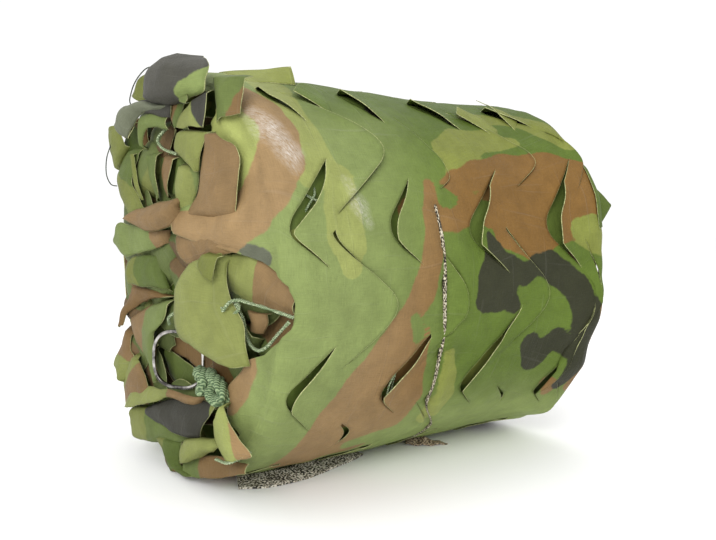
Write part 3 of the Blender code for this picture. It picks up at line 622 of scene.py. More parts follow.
def default_cut(side, line, turn):
    """A cut of the even pattern, a little different each time."""
    mean = (LEFT_LINE if side == "left" else RIGHT_LINE) + CUT_PITCH * line
    chance = random.Random(1000 * line + 10 * turn + (1 if side == "left" else 0))
    lean = ZIGZAG if turn % 2 == 0 else -ZIGZAG
    gap = chance.uniform(1.0, 9.0) if side == "left" else chance.uniform(-2.0, 2.5)
    lift = chance.uniform(1.0, 5.0) if side == "left" else chance.uniform(0.8, 3.0)
    if turn in (4, 5, 6):   # on top of the roll
        gap, lift = 0.3 * gap, 0.25 * lift
    x = min(mean + lean, FAR_EDGE - 6.0) + (chance.uniform(-2, 2) if line < 3 else 0)
    return Cut(side, line, turn, x, FIRST_TURN + TURN_ANGLE * turn, chance.uniform(0.55, 0.7),
               chance.uniform(0.5, 0.66), gap, chance.uniform(0.05, 0.3), lift)


def tip(side, line, turn):
    """The turning point of a line, from the table or from the even pattern."""
    turns_on, base = divmod(turn, TURNS)
    for cut in CUTS:
        if (cut.side, cut.line, cut.turn) == (side, line, base):
            below = base > TURNS // 2 and cut.angle < 0
            return cut._replace(angle=cut.angle + 360.0 * (turns_on + below))
    cut = default_cut(side, line, base)
    return cut._replace(angle=cut.angle + 360.0 * turns_on)


def rounded(share, round_):
    """A straight way from 0 to 1 with rounded ends, as a zigzag with round tips."""
    if share < round_:
        eased = share * share / (2 * round_)
    elif share > 1 - round_:
        eased = 1 - round_ - (1 - share) ** 2 / (2 * round_)
    else:
        eased = share - round_ / 2
    return eased / (1 - round_)


class Line:
    """One zigzag line of cuts, as places and cut profiles for every row."""

    def __init__(self, side, line):
        self.side, self.line = side, line
        self.x, self.angle, self.gap, self.lift, self.open = [], [], [], [], []
        for row in range(ROWS + 1):
            self.add_row(row % ROWS, 360.0 if row == ROWS else 0.0)

    def add_row(self, row, onward):
        """Work out one row of the line."""
        turn, step = divmod(row, ROWS_PER_TURN)
        share = step / ROWS_PER_TURN
        first, second = tip(self.side, self.line, turn), tip(self.side, self.line, turn + 1)
        eased = rounded(share, 0.2 if self.side == "left" else 0.24)
        self.x.append(first.x + (second.x - first.x) * eased)
        self.angle.append(first.angle + (second.angle - first.angle) * share + onward)
        is_first = (turn % 2 == 0) == (self.side == "right")
        cut = first if is_first else second
        along = share if is_first else share - 1.0
        reach = cut.up if along >= 0 else cut.down
        inside = abs(along) < reach
        # Cuts hardly open where the roll lies on the floor.
        calm = 0.25 if 250.0 < self.angle[-1] % 360.0 < 300.0 else 1.0
        if reach > 0.3:
            profile = calm * max(0.0, 1.0 - (along / reach) ** 2)
        else:
            profile = max(0.0, 1.0 - along / reach)
        wide = 0.46 if along > cut.peak else 0.30
        shape = calm * max(0.0, 1.0 - ((along - cut.peak) / wide) ** 2)
        self.gap.append(cut.gap * shape if inside else 0.0)
        self.lift.append(cut.lift * profile if inside else 0.0)
        self.open.append(inside)


def profile_reach(profile, angle):
    """The reach of a profile at an angle around the roll."""
    angle = front_angle(angle)
    for first, second in zip(profile, profile[1:]):
        if angle <= second.angle:
            share = soft_step(angle, first.angle, second.angle)
            return first.reach + (second.reach - first.reach) * share
    return profile[-1].reach


FIRST_LINE = Line("left", 0)


def cloth_columns():
    """Columns of the outer turn: (line before, line after, share between them)."""
    lines = []
    for index in range(PITCHES):
        lines += [Line("left", index), Line("right", index)]
    columns = [(None, None, cell / WRAP_CELLS) for cell in range(WRAP_CELLS)]
    columns += [(None, lines[0], cell / NEAR_CELLS) for cell in range(NEAR_CELLS)]
    for first, second in zip(lines, lines[1:]):
        cells = LEAF_CELLS if first.side == "left" else BAND_CELLS
        columns += [(first, second, cell / cells) for cell in range(cells)]
    columns += [(lines[-1], None, cell / EDGE_CELLS) for cell in range(EDGE_CELLS + 1)]
    return columns


def opening(line, row):
    """How far a line's cut stands open at a row."""
    return max(line.gap[row], SHUT_GAP if line.open[row] else 0.0)


def cloth_shift(line, row, away):
    """How far the cloth at a distance from an open cut moves with its edge."""
    return opening(line, row) * max(0.0, 1 - away / OPENING_FADE[line.side]) ** 1.5


def leaf_rise(line, row, away):
    """How high a leaf stands at a distance from its cut edge."""
    return line.lift[row] * (0.75 * math.exp(-away / 11.0) + 0.25 * math.exp(-away / 3.0))


def cloth_place(column, row, side):
    """Place along and around the roll, and height off it, of a point of the outer turn.

    side is -1 or 1 on the two sides of a cut and 0 elsewhere.
    """
    before, after, share = column
    even = FIRST_TURN + TURN_ANGLE * row / ROWS_PER_TURN
    if before is None:
        reach, first = profile_reach(NEAR_PROFILE, even), FIRST_LINE.x[row]
        a0 = even
        x0 = min(max(NEAR_EDGE, NEAR_EDGE - reach + 0.5), first - 4.0)
        if after is None:
            return x0 - max(0.5, x0 - NEAR_EDGE + reach) * (1 - share), even, 0.0
    else:
        x0, a0 = before.x[row], before.angle[row]
    x1, a1 = (after.x[row], after.angle[row]) if after else (FAR_EDGE + 2.0, even)
    x, angle = x0 + (x1 - x0) * share, a0 + (a1 - a0) * share
    shift, height = 0.0, 0.0
    if before and (share > 0 or side >= 0):
        away = x - x0
        if before.side == "left":
            shift += cloth_shift(before, row, away)
            height += leaf_rise(before, row, away)
        else:
            height -= 0.6 * min(before.lift[row], 2.0) * math.exp(-away / 5.0)
    if before and share == 0 and side < 0:
        if before.side == "right":
            shift -= opening(before, row)
            height += before.lift[row]
        else:
            height -= 0.3 * min(before.lift[row], 2.0)
    if after:
        away = x1 - x
        if after.side == "right":
            shift -= cloth_shift(after, row, away)
            height += leaf_rise(after, row, away)
        else:
            height -= 0.3 * min(after.lift[row], 2.0) * math.exp(-away / 6.0)
    return x + shift, angle, height


# Folds of the outer turn, each from one place (x, angle) to another. depth is how
# far it stands up, or sinks where it is below 0, and half its half width.
Fold = namedtuple("Fold", "x0 angle0 x1 angle1 depth half")
FOLDS = (
    # the groove of the tape
    Fold(-33, 20, -31, 0, -2.4, 3.2),
    Fold(-31, 0, -26, -20, -2.6, 3.4),
    Fold(-26, -20, -20, -37, -2.4, 3.4),
    Fold(-20, -37, 7, -55, -2.0, 3.4),
    # cloth bunched beside it
    Fold(-24, -14, -9, -44, 2.2, 6.0),
    Fold(-42, 18, -40, -8, 1.0, 7.0),
    Fold(-20, 14, -16, -8, 1.6, 6.0),
    # slow creases
    Fold(-60, 10, -10, -60, -0.8, 8.0),
    Fold(-120, -45, -90, -62, 1.4, 8.0),
    Fold(40, -40, 70, -60, 1.2, 8.0),
    Fold(-118, 16, -85, -12, 0.8, 9.0),
    Fold(-96, 44, -74, 8, 0.9, 9.0),
)


def fold_height(x, angle):
    """Height of the folds and the tape's groove at a place on the roll."""
    height = 0.0
    v = angle * CLOTH_SCALE
    for fold in FOLDS:
        av = fold.angle0 * CLOTH_SCALE
        run_x, run_v = fold.x1 - fold.x0, fold.angle1 * CLOTH_SCALE - av
        along = ((x - fold.x0) * run_x + (v - av) * run_v) / (run_x ** 2 + run_v ** 2)
        share = max(0.0, min(1.0, along))
        gap = (x - fold.x0 - share * run_x) ** 2 + (v - av - share * run_v) ** 2
        height += fold.depth * math.exp(-gap / (fold.half * fold.half))
    return height


def inward_heading(angle):
    """Which way the near edge wraps over the end: across for the front, else inwards."""
    angle = front_angle(angle)
    size = abs(angle)
    if size < 55.0:
        return 0.0
    turn = 100.0 * (size - 55.0) / 45.0 if size < 100.0 else size
    return math.radians(-math.copysign(turn, angle))


def cloth_point(x, angle, height):
    """A point of the outer turn about the axis."""
    turned = front_angle(angle, -90.0)
    past = max(0.0, NEAR_EDGE - x)
    on_x = max(x, NEAR_EDGE)
    flare = profile_reach(FAR_FLARE, angle) * soft_step(x, 60.0, 122.0)
    radius = ROLL_RADIUS + height + lumps(angle, on_x) - shoulder(on_x)
    radius += fold_height(on_x, turned) + flare
    spot = on_roll(on_x, angle, radius)
    push = crumple(spot, 34.0, 1.2) + crumple(spot, 13.0, 0.5)
    spot = on_roll(on_x + 0.4 * push.y, angle, radius + push.x)
    if past:
        heading = inward_heading(angle)
        spot.y += past * math.cos(heading)
        spot.z = max(spot.z + past * math.sin(heading), FLOOR_GAP - AXIS_HEIGHT + 1.0)
        bulge = WRAP_BULGE * math.exp(-((turned - 13.0) / 7.0) ** 2) * min(1.0, past / 50.0)
        flat = LEAF_PLANE - LEAN * spot.y - (5.0 + height + bulge)
        share = soft_step(past, 0.0, 16.0)
        fold = crumple(spot, 20.0, 2.0)
        spot.x += (flat - spot.x) * share + fold.x * share
    return spot


def back_strokes():
    """Strokes of ink for the side that is turned away, drawn at random."""
    chance = random.Random(BACK_SEED)
    made = []
    for index in range(BACK_STROKES):
        ink = ("brown", "light", "black", "brown", "light")[index % 5]
        x, angle = chance.uniform(-150, 130), chance.uniform(104, 292)
        heading = chance.uniform(0, 2 * math.pi)
        half = chance.uniform(8, 15) if ink != "black" else chance.uniform(6, 10)
        stroke = [ink]
        for _ in range(chance.randint(3, 5)):
            stroke.append(Ink(x, angle, half * chance.uniform(0.75, 1.25)))
            heading += chance.uniform(-0.9, 0.9)
            x += 24 * math.cos(heading)
            angle = min(288.0, max(104.0, angle + 24 * math.sin(heading) / CLOTH_SCALE))
        made.append(tuple(stroke))
    return made


def ink_fields(places, strokes):
    """For each ink, how far inside its strokes the places are, in mm."""
    fields = {}
    spots = np.array([(x, angle * CLOTH_SCALE) for x, angle in places], float)
    whole = 360.0 * CLOTH_SCALE
    for ink, *inks in strokes:
        for start, end in zip(inks, inks[1:]):
            best = None
            for onward in (-whole, 0.0, whole):
                a = np.array((start.x, start.angle * CLOTH_SCALE + onward))
                b = np.array((end.x, end.angle * CLOTH_SCALE + onward))
                share = np.clip(((spots - a) @ (b - a)) / max((b - a) @ (b - a), 1e-6), 0, 1)
                away = np.linalg.norm(spots - a - share[:, None] * (b - a), axis=1)
                value = start.half + (end.half - start.half) * share - away
                best = value if best is None else np.maximum(best, value)
            soft = np.exp(np.clip(best, -60, 40) / 2.5)
            fields[ink] = fields.get(ink, 0.0) + soft
    return {ink: np.clip(2.5 * np.log(np.maximum(total, 1e-9)), UNPRINTED, -UNPRINTED)
            for ink, total in fields.items()}


def cloth_mesh():
    """A new bmesh with the layers that the cloth's finish reads."""
    bm = bmesh.new()
    for name in LAYERS:
        bm.verts.layers.float.new(name)
    bm.loops.layers.uv.new("cloth")
    return bm


def write_layers(bm, verts, values):
    """Write float layers, one value for each vertex."""
    for name, numbers in values.items():
        layer = bm.verts.layers.float[name]
        for vert, number in zip(verts, numbers):
            vert[layer] = float(number)


def cloth_painted_shading(x, angle):
    """How light the cloth is drawn, all of it painted light and shade: painted shade on top, painted light
    near the mouth and low down.
    """
    angle = front_angle(angle, -90.0)
    # top is painted shade on the upper side; worn is painted light near the mouth, over the shade the
    # leaves cast there; low is painted light from the floor on the lower side.
    top = soft_step(angle, 24.0, 58.0) * soft_step(x, -150.0, -110.0)
    worn = soft_step(-x, 146.0, 158.0) * (0.08 + 0.3 * soft_step(angle, 26.0, 34.0))
    low = soft_step(-angle, 32.0, 54.0) * soft_step(x, -130.0, -20.0)
    return 1.02 - 0.24 * top + worn + 0.32 * low


def cloth_depth_and_shade(x, angle):
    """How deep the inks are drawn: paler near the crumpled end, paler low down as painted light from the
    floor, deep elsewhere, and deepened on top near the end as painted shade.
    """
    angle = front_angle(angle, -90.0)
    # far fades towards the crumpled end and fades low down, where that is painted floor light; the second
    # term deepens the top near the end as painted shade.
    far = soft_step(x, -112.0, 5.0) * (1 - 0.95 * soft_step(-angle, 24.0, 50.0))
    return max(far, 0.85 * soft_step(angle, 34.0, 58.0) * soft_step(x, -128.0, -80.0))


def is_cut(edge, columns, column_layer, row_layer):
    """Whether an edge of the outer turn lies on the open part of a cut."""
    first, second = edge.verts
    if first[column_layer] != second[column_layer]:
        return False
    before, _, share = columns[first[column_layer]]
    rows = first[row_layer], second[row_layer]
    if not before or share != 0 or not (before.open[rows[0]] or before.open[rows[1]]):
        return False
    return abs(rows[0] - rows[1]) == 1 or {0, ROWS - 1} == set(rows)


def side_of_cut(vert, columns, column_layer):
    """Where a vertex is by an open cut: 1 beyond it, -1 before it, 0 away from any."""
    column = vert[column_layer]
    middles = [sum(v[column_layer] for v in face.verts) / 4 for face in vert.link_faces]
    if not middles or not vert.is_boundary or columns[column][2] != 0:
        return 0
    if min(middles) > column:
        return 1
    return -1 if max(middles) < column else 0


def write_outer_uv(bm, columns, column_layer, row_layer):
    """Write the uv of the outer turn: the cloth laid flat, in metres."""
    uv = bm.loops.layers.uv["cloth"]
    for face in bm.faces:
        rows = [vert[row_layer] for vert in face.verts]
        wraps = max(rows) - min(rows) > ROWS / 2
        for loop in face.loops:
            row = loop.vert[row_layer]
            row += ROWS if wraps and row < ROWS / 2 else 0
            before, after, share = columns[loop.vert[column_layer]]
            x0 = before.x[row % ROWS] if before else NEAR_EDGE - (0.0 if after else 100.0)
            x1 = after.x[row % ROWS] if after else (FAR_EDGE if before else NEAR_EDGE)
            around = row * TURN_ANGLE / ROWS_PER_TURN * CLOTH_SCALE * MM
            loop[uv].uv = ((x0 + (x1 - x0) * share) * MM, around)


def make_outer_turn(kit):
    """The outer turn of cloth, cut along its lines and opened at the cuts."""
    columns = cloth_columns()
    bm = cloth_mesh()
    column_layer = bm.verts.layers.int.new("column")
    row_layer = bm.verts.layers.int.new("row")
    found = add_grid(bm, (len(columns) - 1, ROWS),
                     lambda column, row: cloth_point(*cloth_place(columns[column], row, 0)))
    for (column, row), vert in found.items():
        vert[column_layer], vert[row_layer] = column, row % ROWS
    seam = [found[column, row] for column in range(len(columns)) for row in (0, ROWS)]
    bmesh.ops.remove_doubles(bm, verts=seam, dist=0.01 * MM)
    cuts = [edge for edge in bm.edges if is_cut(edge, columns, column_layer, row_layer)]
    bmesh.ops.split_edges(bm, edges=cuts)

    bm.verts.ensure_lookup_table()
    verts = list(bm.verts)
    spots, edges = [], []
    for vert in verts:
        side = side_of_cut(vert, columns, column_layer)
        x, angle, height = cloth_place(columns[vert[column_layer]], vert[row_layer], side)
        vert.co = place(cloth_point(x, angle, height))
        spots.append((x + 0.3 * max(0.0, NEAR_EDGE - x), angle))
        edges.append(1.0 if side else (0.7 if vert.is_boundary else 0.0))
    fields = ink_fields(spots, STROKES + tuple(back_strokes()))
    fields.update(ink_fields(spots, SCUFFS))
    covered = ink_fields(spots, GREENS)["green"]
    fields["brown"] = np.minimum(fields["brown"], -covered)
    write_layers(bm, verts, fields)
    write_layers(bm, verts, {"cut_edge": edges, "tint": [cloth_painted_shading(*spot) for spot in spots],
                             "deep": [cloth_depth_and_shade(*spot) for spot in spots]})
    write_outer_uv(bm, columns, column_layer, row_layer)
    bm.verts.layers.int.remove(column_layer)
    bm.verts.layers.int.remove(bm.verts.layers.int["row"])
    cloth_piece("outer_turn", bm, kit, replaced="net_roll")


def inner_point(x, angle):
    """A place on the turn beneath the outer one."""
    turn = math.radians(angle)
    wave = noise.noise(Vector((x / 17, math.cos(turn) * 7, math.sin(turn) * 7)))
    flare = profile_reach(FAR_FLARE, angle) * ramp(x, 70.0, 125.0) ** 2
    flare += 2.6 * soft_step(angle, 44.0, 60.0) * (1 - soft_step(angle, 110.0, 130.0))
    radius = ROLL_RADIUS - BENEATH - shoulder(x) * 1.1 + lumps(angle, x) + wave + flare
    return on_roll(x, angle, radius)


def make_inner_turn(kit):
    """The turn of cloth beneath, which shows through the open cuts."""
    cells = (70, 200)
    bm = cloth_mesh()

    def spot(column, row):
        angle = FIRST_TURN + 360.0 * row / cells[1]
        start = NEAR_EDGE + 3 + (19.0 if -24.0 < front_angle(angle) < 6.0 else 0.0)
        return inner_point(start + (FAR_EDGE - 2 - start) * column / cells[0], angle)
    found = add_grid(bm, cells, spot)
    seam = [found[column, row] for column in range(cells[0] + 1) for row in (0, cells[1])]
    bmesh.ops.remove_doubles(bm, verts=seam, dist=0.01 * MM)
    verts = list(bm.verts)
    spots = []
    for vert in verts:
        x = vert.co.x / MM + CENTRE[0]
        out, up = -(vert.co.y / MM + CENTRE[1]), vert.co.z / MM - AXIS_HEIGHT
        # The print of this turn is that of the back, moved along and around.
        spots.append((0.9 * x + 17.0, (math.degrees(math.atan2(up, out)) + 171.0) % 360.0))
    write_layers(bm, verts, ink_fields(spots, back_strokes()))
    # The turn beneath gets a lower tint and deeper inks: painted shade, where it lies under the outer turn.
    for name, value in (("cut_edge", 0.0), ("tint", 0.9), ("deep", 0.8), ("scuff", UNPRINTED),
                        ("grey", UNPRINTED)):
        write_layers(bm, verts, {name: [value] * len(verts)})
    cloth_piece("inner_turn", bm, kit)


# ---------------------------------------------------------------- end leaves

def along_edge(points, share):
    """A place on a smooth edge through points, at a share of the way."""
    last = len(points) - 1
    index = min(int(share * last), last - 1)
    p1, p2 = Vector(points[index]), Vector(points[index + 1])
    p0 = Vector(points[index - 1]) if index else 2 * p1 - p2
    p3 = Vector(points[index + 2]) if index + 2 <= last else 2 * p2 - p1
    return curve_between(p0, p1, p2, p3, share * last - index)


def near_leaf_point(leaf, along, across):
    """A point of a near leaf: along 0 to 1 from root to tip, across -1 to 1."""
    left, right = along_edge(leaf.left, along), along_edge(leaf.right, along)
    y, z = left + (right - left) * (across + 1) / 2
    lift = through(*leaf.height, along) + 0.5 * leaf.tilt * across + leaf.cup * (1 - across ** 2)
    if along < ROOT_SHARE:
        lift -= ROOT_DEPTH * (1 - along / ROOT_SHARE) ** 1.5
    z = max(z, -AXIS_HEIGHT + 1.5)
    spot = Vector((LEAF_PLANE - LEAN * y - lift, y, z))
    chance = Vector((len(leaf.name), leaf.left[0][0], 0.0))
    return spot + crumple(spot + chance * 3.0, 22.0, 2.0) + crumple(spot + chance, 9.0, 0.7)


def flap_point(leaf, along, across):
    """A point of a flap on the roll: along 0 to 1 from root to tip, across -1 to 1."""
    left, right = along_edge(leaf.left, along), along_edge(leaf.right, along)
    x, angle = left + (right - left) * (across + 1) / 2
    rise = through(*leaf.height, along) + 0.5 * leaf.tilt * across * along
    return cloth_point(x, angle, rise + leaf.cup * (1 - across ** 2) + 0.3)


def leaf_inks(leaf, spot):
    """The ink fields at a point of a leaf: each about how far inside, in mm."""
    past = -20.0
    if leaf.line:
        y, z, to_y, to_z = leaf.line
        length = math.hypot(to_y - y, to_z - z)
        past = ((spot.y - y) * (to_y - y) + (spot.z - z) * (to_z - z)) / length
        past += 2.5 * noise.noise(spot / 11.0)
    fields = {}
    for name in INK_NAMES:
        if leaf.inks == (name, name):
            inside = -UNPRINTED
        elif leaf.inks[0] == name:
            inside = -past
        else:
            inside = past if leaf.inks[1] == name else UNPRINTED
        fields[name] = max(UNPRINTED, min(-UNPRINTED, inside))
    return fields


def add_leaf(bm, cells, point, inks, size, tint, deep=0.15):
    """Add one leaf to a mesh, with its inks and its frayed edge. size is in mm."""
    spots = {}

    def spot(column, row):
        spots[column, row] = point(column / cells[0], 2 * row / cells[1] - 1)
        return spots[column, row]
    found = add_grid(bm, cells, spot)
    values = {name: [] for name in LAYERS}
    for column, row in found:
        for name, value in inks(spots[column, row]).items():
            values[name].append(value)
        values["cut_edge"].append(1.0 if column == cells[0] or row in (0, cells[1]) else 0.0)
        values["tint"].append(tint)
        values["deep"].append(deep)
        values["scuff"].append(UNPRINTED)
    write_layers(bm, found.values(), values)
    write_uv(bm, found, lambda column, row: (size[0] * column / cells[0], size[1] * row / cells[1]))


def make_near_leaves(kit):
    """The leaves of the crumpled end."""
    bm = cloth_mesh()
    for leaf in NEAR_LEAVES:
        size = (math.dist(leaf.left[0], leaf.left[-1]), 1.2 * math.dist(leaf.left[1], leaf.right[1]))
        # A darker leaf, one that lies in shade, gets deeper inks as well: painted shade.
        deep = min(1.0, max(0.15, 2.4 * (0.86 - leaf.tint)))
        add_leaf(bm, NEAR_GRID, partial(near_leaf_point, leaf), partial(leaf_inks, leaf), size,
                 leaf.tint * (1.0 + 0.3 * (deep - 0.15)), deep)
    cloth_piece("near_leaves", bm, kit)


def make_flaps(kit):
    """Leaf tips that stand up from the roll."""
    bm = cloth_mesh()
    for leaf in FLAPS:
        # Deep inks as on the cloth around the flaps: partly print, and painted shade where they stand on
        # top.
        add_leaf(bm, (16, 10), partial(flap_point, leaf), partial(leaf_inks, leaf), (30, 30),
                 leaf.tint, 0.85)
    cloth_piece("standing_flaps", bm, kit)


def filler_leaf(index):
    """A leaf deeper in the near end, the same one for an index each time."""
    chance = random.Random(FILLER_SEED + index)
    distance = FILLER_SPREAD * math.sqrt((index + 0.5) / FILLERS)
    around = FILLER_TURN * index
    middle = Vector((-distance * math.cos(around), distance * math.sin(around)))
    middle.x = min(middle.x, FILLER_MOST_Y)
    if (middle - Vector(OPEN_PLACE)).length < OPEN_REACH:
        middle = Vector(SPARE_PLACE)
    heading = chance.uniform(0, 2 * math.pi)
    run = Vector((math.cos(heading), math.sin(heading))) * chance.uniform(17, 24)
    side = Vector((-run.y, run.x)) * chance.uniform(0.5, 0.8)
    inks = chance.choice(FILLER_INKS)
    left = tuple(middle - run + side), tuple(middle + side * 1.2), tuple(middle + run + side * 0.3)
    right = tuple(middle - run - side), tuple(middle - side * 1.2), tuple(middle + run - side * 0.3)
    line = (middle.x, middle.y, middle.x + side.x, middle.y + side.y)
    # Their low tints are painted shade, where they lie behind the leaves on top.
    return Leaf("filler", left, right, (-6, -3, -5), chance.uniform(-9, 9), chance.uniform(1, 5), inks,
                line, chance.uniform(0.4, 0.65))


def make_filler_leaves(kit):
    """Leaves deeper in the near end, behind the ones on top, drawn dark as painted shade."""
    bm = cloth_mesh()
    for index in range(FILLERS):
        leaf = filler_leaf(index)
        add_leaf(bm, (12, 8), partial(near_leaf_point, leaf), partial(leaf_inks, leaf), (40, 30), leaf.tint)
    cloth_piece("filler_leaves", bm, kit)


def make_far_leaves(kit):
    """The leaves that lie outwards across the far end."""
    bm = cloth_mesh()
    for index in range(FAR_LEAVES):
        chance = random.Random(FAR_SEED + index)
        angle = math.radians(index * 360.0 / FAR_LEAVES + chance.uniform(-9, 9))
        inner = chance.uniform(62, 84)
        outer = ROLL_RADIUS - chance.uniform(4, 12)
        width = chance.uniform(34, 52)
        reach = FAR_REACH - chance.uniform(0, 7)
        skew = chance.uniform(-14, 14)

        def point(along, across):
            distance = inner - 22.0 + (outer - inner + 22.0) * along
            half = 0.5 * width * (1.0 - 0.55 * along ** 2)
            side = half * across + skew * along
            y = -distance * math.cos(angle) + side * math.sin(angle)
            z = distance * math.sin(angle) + side * math.cos(angle)
            x = reach - 5.0 * (1 - along) - 2.5 * across ** 2 - 14.0 * max(0.0, 0.25 - along) / 0.25
            spot = Vector((x, y, max(z, -AXIS_HEIGHT + 1.5)))
            return spot + crumple(spot, 22.0, 1.6) + crumple(spot, 8.0, 0.5)
        y, z = -inner * 1.4 * math.cos(angle), inner * 1.4 * math.sin(angle)
        line = (y, z, y + chance.uniform(-9, 9), z + chance.uniform(-9, 9))
        leaf = Leaf("far", (), (), (), 0, 0, FAR_INKS[index % len(FAR_INKS)], line, 0.9)
        add_leaf(bm, (18, 12), point, partial(leaf_inks, leaf), (80, width), leaf.tint)
    cloth_piece("far_leaves", bm, kit)


def wound_inks(spot):
    """The ink fields at a point of a wound edge: brown in places on green."""
    fields = dict.fromkeys(INK_NAMES, UNPRINTED)
    fields["brown"] = max(UNPRINTED, min(-UNPRINTED, 12.0 * noise.noise(spot / 40.0)))
    return fields


def make_wound_edges(kit):
    """The edges of the inner turns, which show in both ends as a spiral."""
    bm = cloth_mesh()
    cells = (WOUND_TURNS * WOUND_STEPS, 4)
    for end in WOUND_ENDS:
        def point(along, across):
            column = along * cells[0]
            angle = 2 * math.pi * column / WOUND_STEPS
            radius = end.largest - WOUND_PITCH * column / WOUND_STEPS
            wave = 4.0 * noise.noise(Vector((column / 9.0, end.place, 0.0)))
            inward = end.depth * (across + 1) / 2
            y = -radius * math.cos(angle)
            spot = Vector((end.edge - end.lean * y + wave + inward, y, radius * math.sin(angle)))
            spot.z = max(spot.z, -AXIS_HEIGHT + 3.0)
            return spot + crumple(spot, 16.0, 2.2)
        # Their tint of 0.5 is painted shade, inside the ends.
        add_leaf(bm, cells, point, wound_inks, (1500, 20), 0.5)
    cloth_piece("wound_edges", bm, kit)


# --------------------------------------------------------- tape, ring, cords

def tape_line(angle):
    """Where the tie tape crosses the roll at an angle around it."""
    for (a0, x0), (a1, x1) in zip(TAPE_PLACES, TAPE_PLACES[1:]):
        if angle <= a1:
            share = (angle - a0) / (a1 - a0)
            return x0 + (x1 - x0) * share * share * (3 - 2 * share)
    return TAPE_PLACES[-1][1]


def make_tie_band(finish):
    """The tape around the roll, folded on edge where it bites into the cloth."""
    bm = bmesh.new()
    cells = (6, 240)
    wide, high = size_of("tape_width"), size_of("tape_height")

    def spot(column, row):
        angle = -90.0 + 360.0 * row / cells[1]
        around = 2 * math.pi * column / cells[0]
        sunk = TAPE_SUNK * ramp(angle, 20.0, 28.0) * ramp(262.0 - angle, 0.0, 20.0)
        x = tape_line(angle)
        narrow = 1.0 - 0.5 * ramp(8.0 - angle, 0.0, 40.0)
        radius = ROLL_RADIUS + lumps(angle, x) - 1.1 - sunk
        wobble = noise.noise(Vector((row / 7.0, 3.0, 0.0)))
        x += 0.5 * wide * narrow * math.cos(around) + 0.6 * wobble
        radius += 0.5 * high * math.sin(around) + 0.5 * wobble
        return on_roll(x, angle, radius)
    found = add_grid(bm, cells, spot)
    write_uv(bm, found, lambda column, row: (column * 2.0, row * 3.6))
    bmesh.ops.remove_doubles(bm, verts=bm.verts, dist=0.01 * MM)
    bmesh.ops.recalc_face_normals(bm, faces=bm.faces)
    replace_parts(finish_mesh("tie_tape_band", bm, finish, "tie_webbing"), "tie_band")


def make_tie_tail(finish):
    """The free end of the tape on the floor."""
    bm = bmesh.new()
    cells = (80, 8)
    middle = smooth_route([(x, y, 0.0) for x, y in TAIL_PLACES], 16)

    def spot(column, row):
        here = middle[column]
        run = (middle[min(column + 1, cells[0])] - middle[max(column - 1, 0)]).normalized()
        share = column / cells[0] * (len(TAIL_WIDTHS) - 1)
        step = min(int(share), len(TAIL_WIDTHS) - 2)
        width = TAIL_WIDTHS[step] + (TAIL_WIDTHS[step + 1] - TAIL_WIDTHS[step]) * (share - step)
        across = row / cells[1] - 0.5
        x, y = here.x - run.y * width * across, here.y + run.x * width * across
        inner = (y - here.y) / width + 0.5
        rise = 0.6 + 5.0 * inner ** 1.2 + 0.3 * math.sin(column / 4.0 + row)
        limit = AXIS_HEIGHT - math.sqrt(TAIL_CLEAR ** 2 - y * y) - 0.8
        return Vector((x, y, -AXIS_HEIGHT + max(0.5, min(rise, limit))))
    found = add_grid(bm, cells, spot)
    write_uv(bm, found, lambda column, row: (row * 2.2, column * 1.5))
    piece = finish_mesh("tie_tape_tail", bm, finish, "tie_webbing")
    thicken(piece, size_of("tape_thickness"))
    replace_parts(piece, "tie_tail")


def make_tie_loop(finish):
    """The short folded end of the tape, lying on its side in front of the roll."""
    bm = bmesh.new()
    cells = (26, 10)
    start, far = (Vector((*spot, 0.0)) for spot in LOOP_ENDS)
    run = (far - start).normalized()
    side = Vector((-run.y, run.x, 0.0))

    def spot(column, row):
        share = column / cells[0]
        width = LOOP_WIDTH * math.sin(math.pi * min(1.0, 0.28 + 0.72 * share)) ** 0.7
        width *= 1 - 0.5 * share ** 4
        across = row / cells[1] - 0.5
        fold = 1 - abs(across) * 2
        rise = 1.0 + 4.2 * fold * math.sin(math.pi * min(1.0, 0.2 + share)) + 0.5 * math.sin(column * 0.7)
        here = start + (far - start) * share + side * width * across
        here.z = -AXIS_HEIGHT + max(0.5, rise)
        return here
    found = add_grid(bm, cells, spot)
    write_uv(bm, found, lambda column, row: (row * 1.9, column * 1.4))
    piece = finish_mesh("tie_tape_loop", bm, finish, "tie_webbing")
    thicken(piece, size_of("tape_thickness"))
    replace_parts(piece, "tie_loop")


def tube(name, points, thick, finish, slot, sides, closed=False):
    """A round wire or cord through points about the axis, thick in mm, as a mesh."""
    curve = bpy.data.curves.new(name, "CURVE")
    curve.dimensions = "3D"
    curve.bevel_depth = thick / 2 * MM
    curve.bevel_resolution = sides
    curve.use_fill_caps = True
    spline = curve.splines.new("POLY")
    spline.points.add(len(points) - 1)
    for item, point in zip(spline.points, points):
        item.co = (*place(point), 1.0)
    spline.use_cyclic_u = closed
    spline.use_smooth = True
    source = bpy.data.objects.new(name + "_line", curve)
    bpy.context.scene.collection.objects.link(source)
    bpy.context.view_layer.update()
    graph = bpy.context.evaluated_depsgraph_get()
    mesh = bpy.data.meshes.new_from_object(source.evaluated_get(graph))
    bpy.data.objects.remove(source, do_unlink=True)
    mesh.name = name
    bm = bmesh.new()
    bm.from_mesh(mesh)
    bmesh.ops.remove_doubles(bm, verts=bm.verts, dist=0.005 * MM)
    bmesh.ops.recalc_face_normals(bm, faces=bm.faces)
    for face in bm.faces:
        face.smooth = True
    bm.to_mesh(mesh)
    bm.free()
    mesh.materials.clear()
    return link(name, mesh, finish, slot)


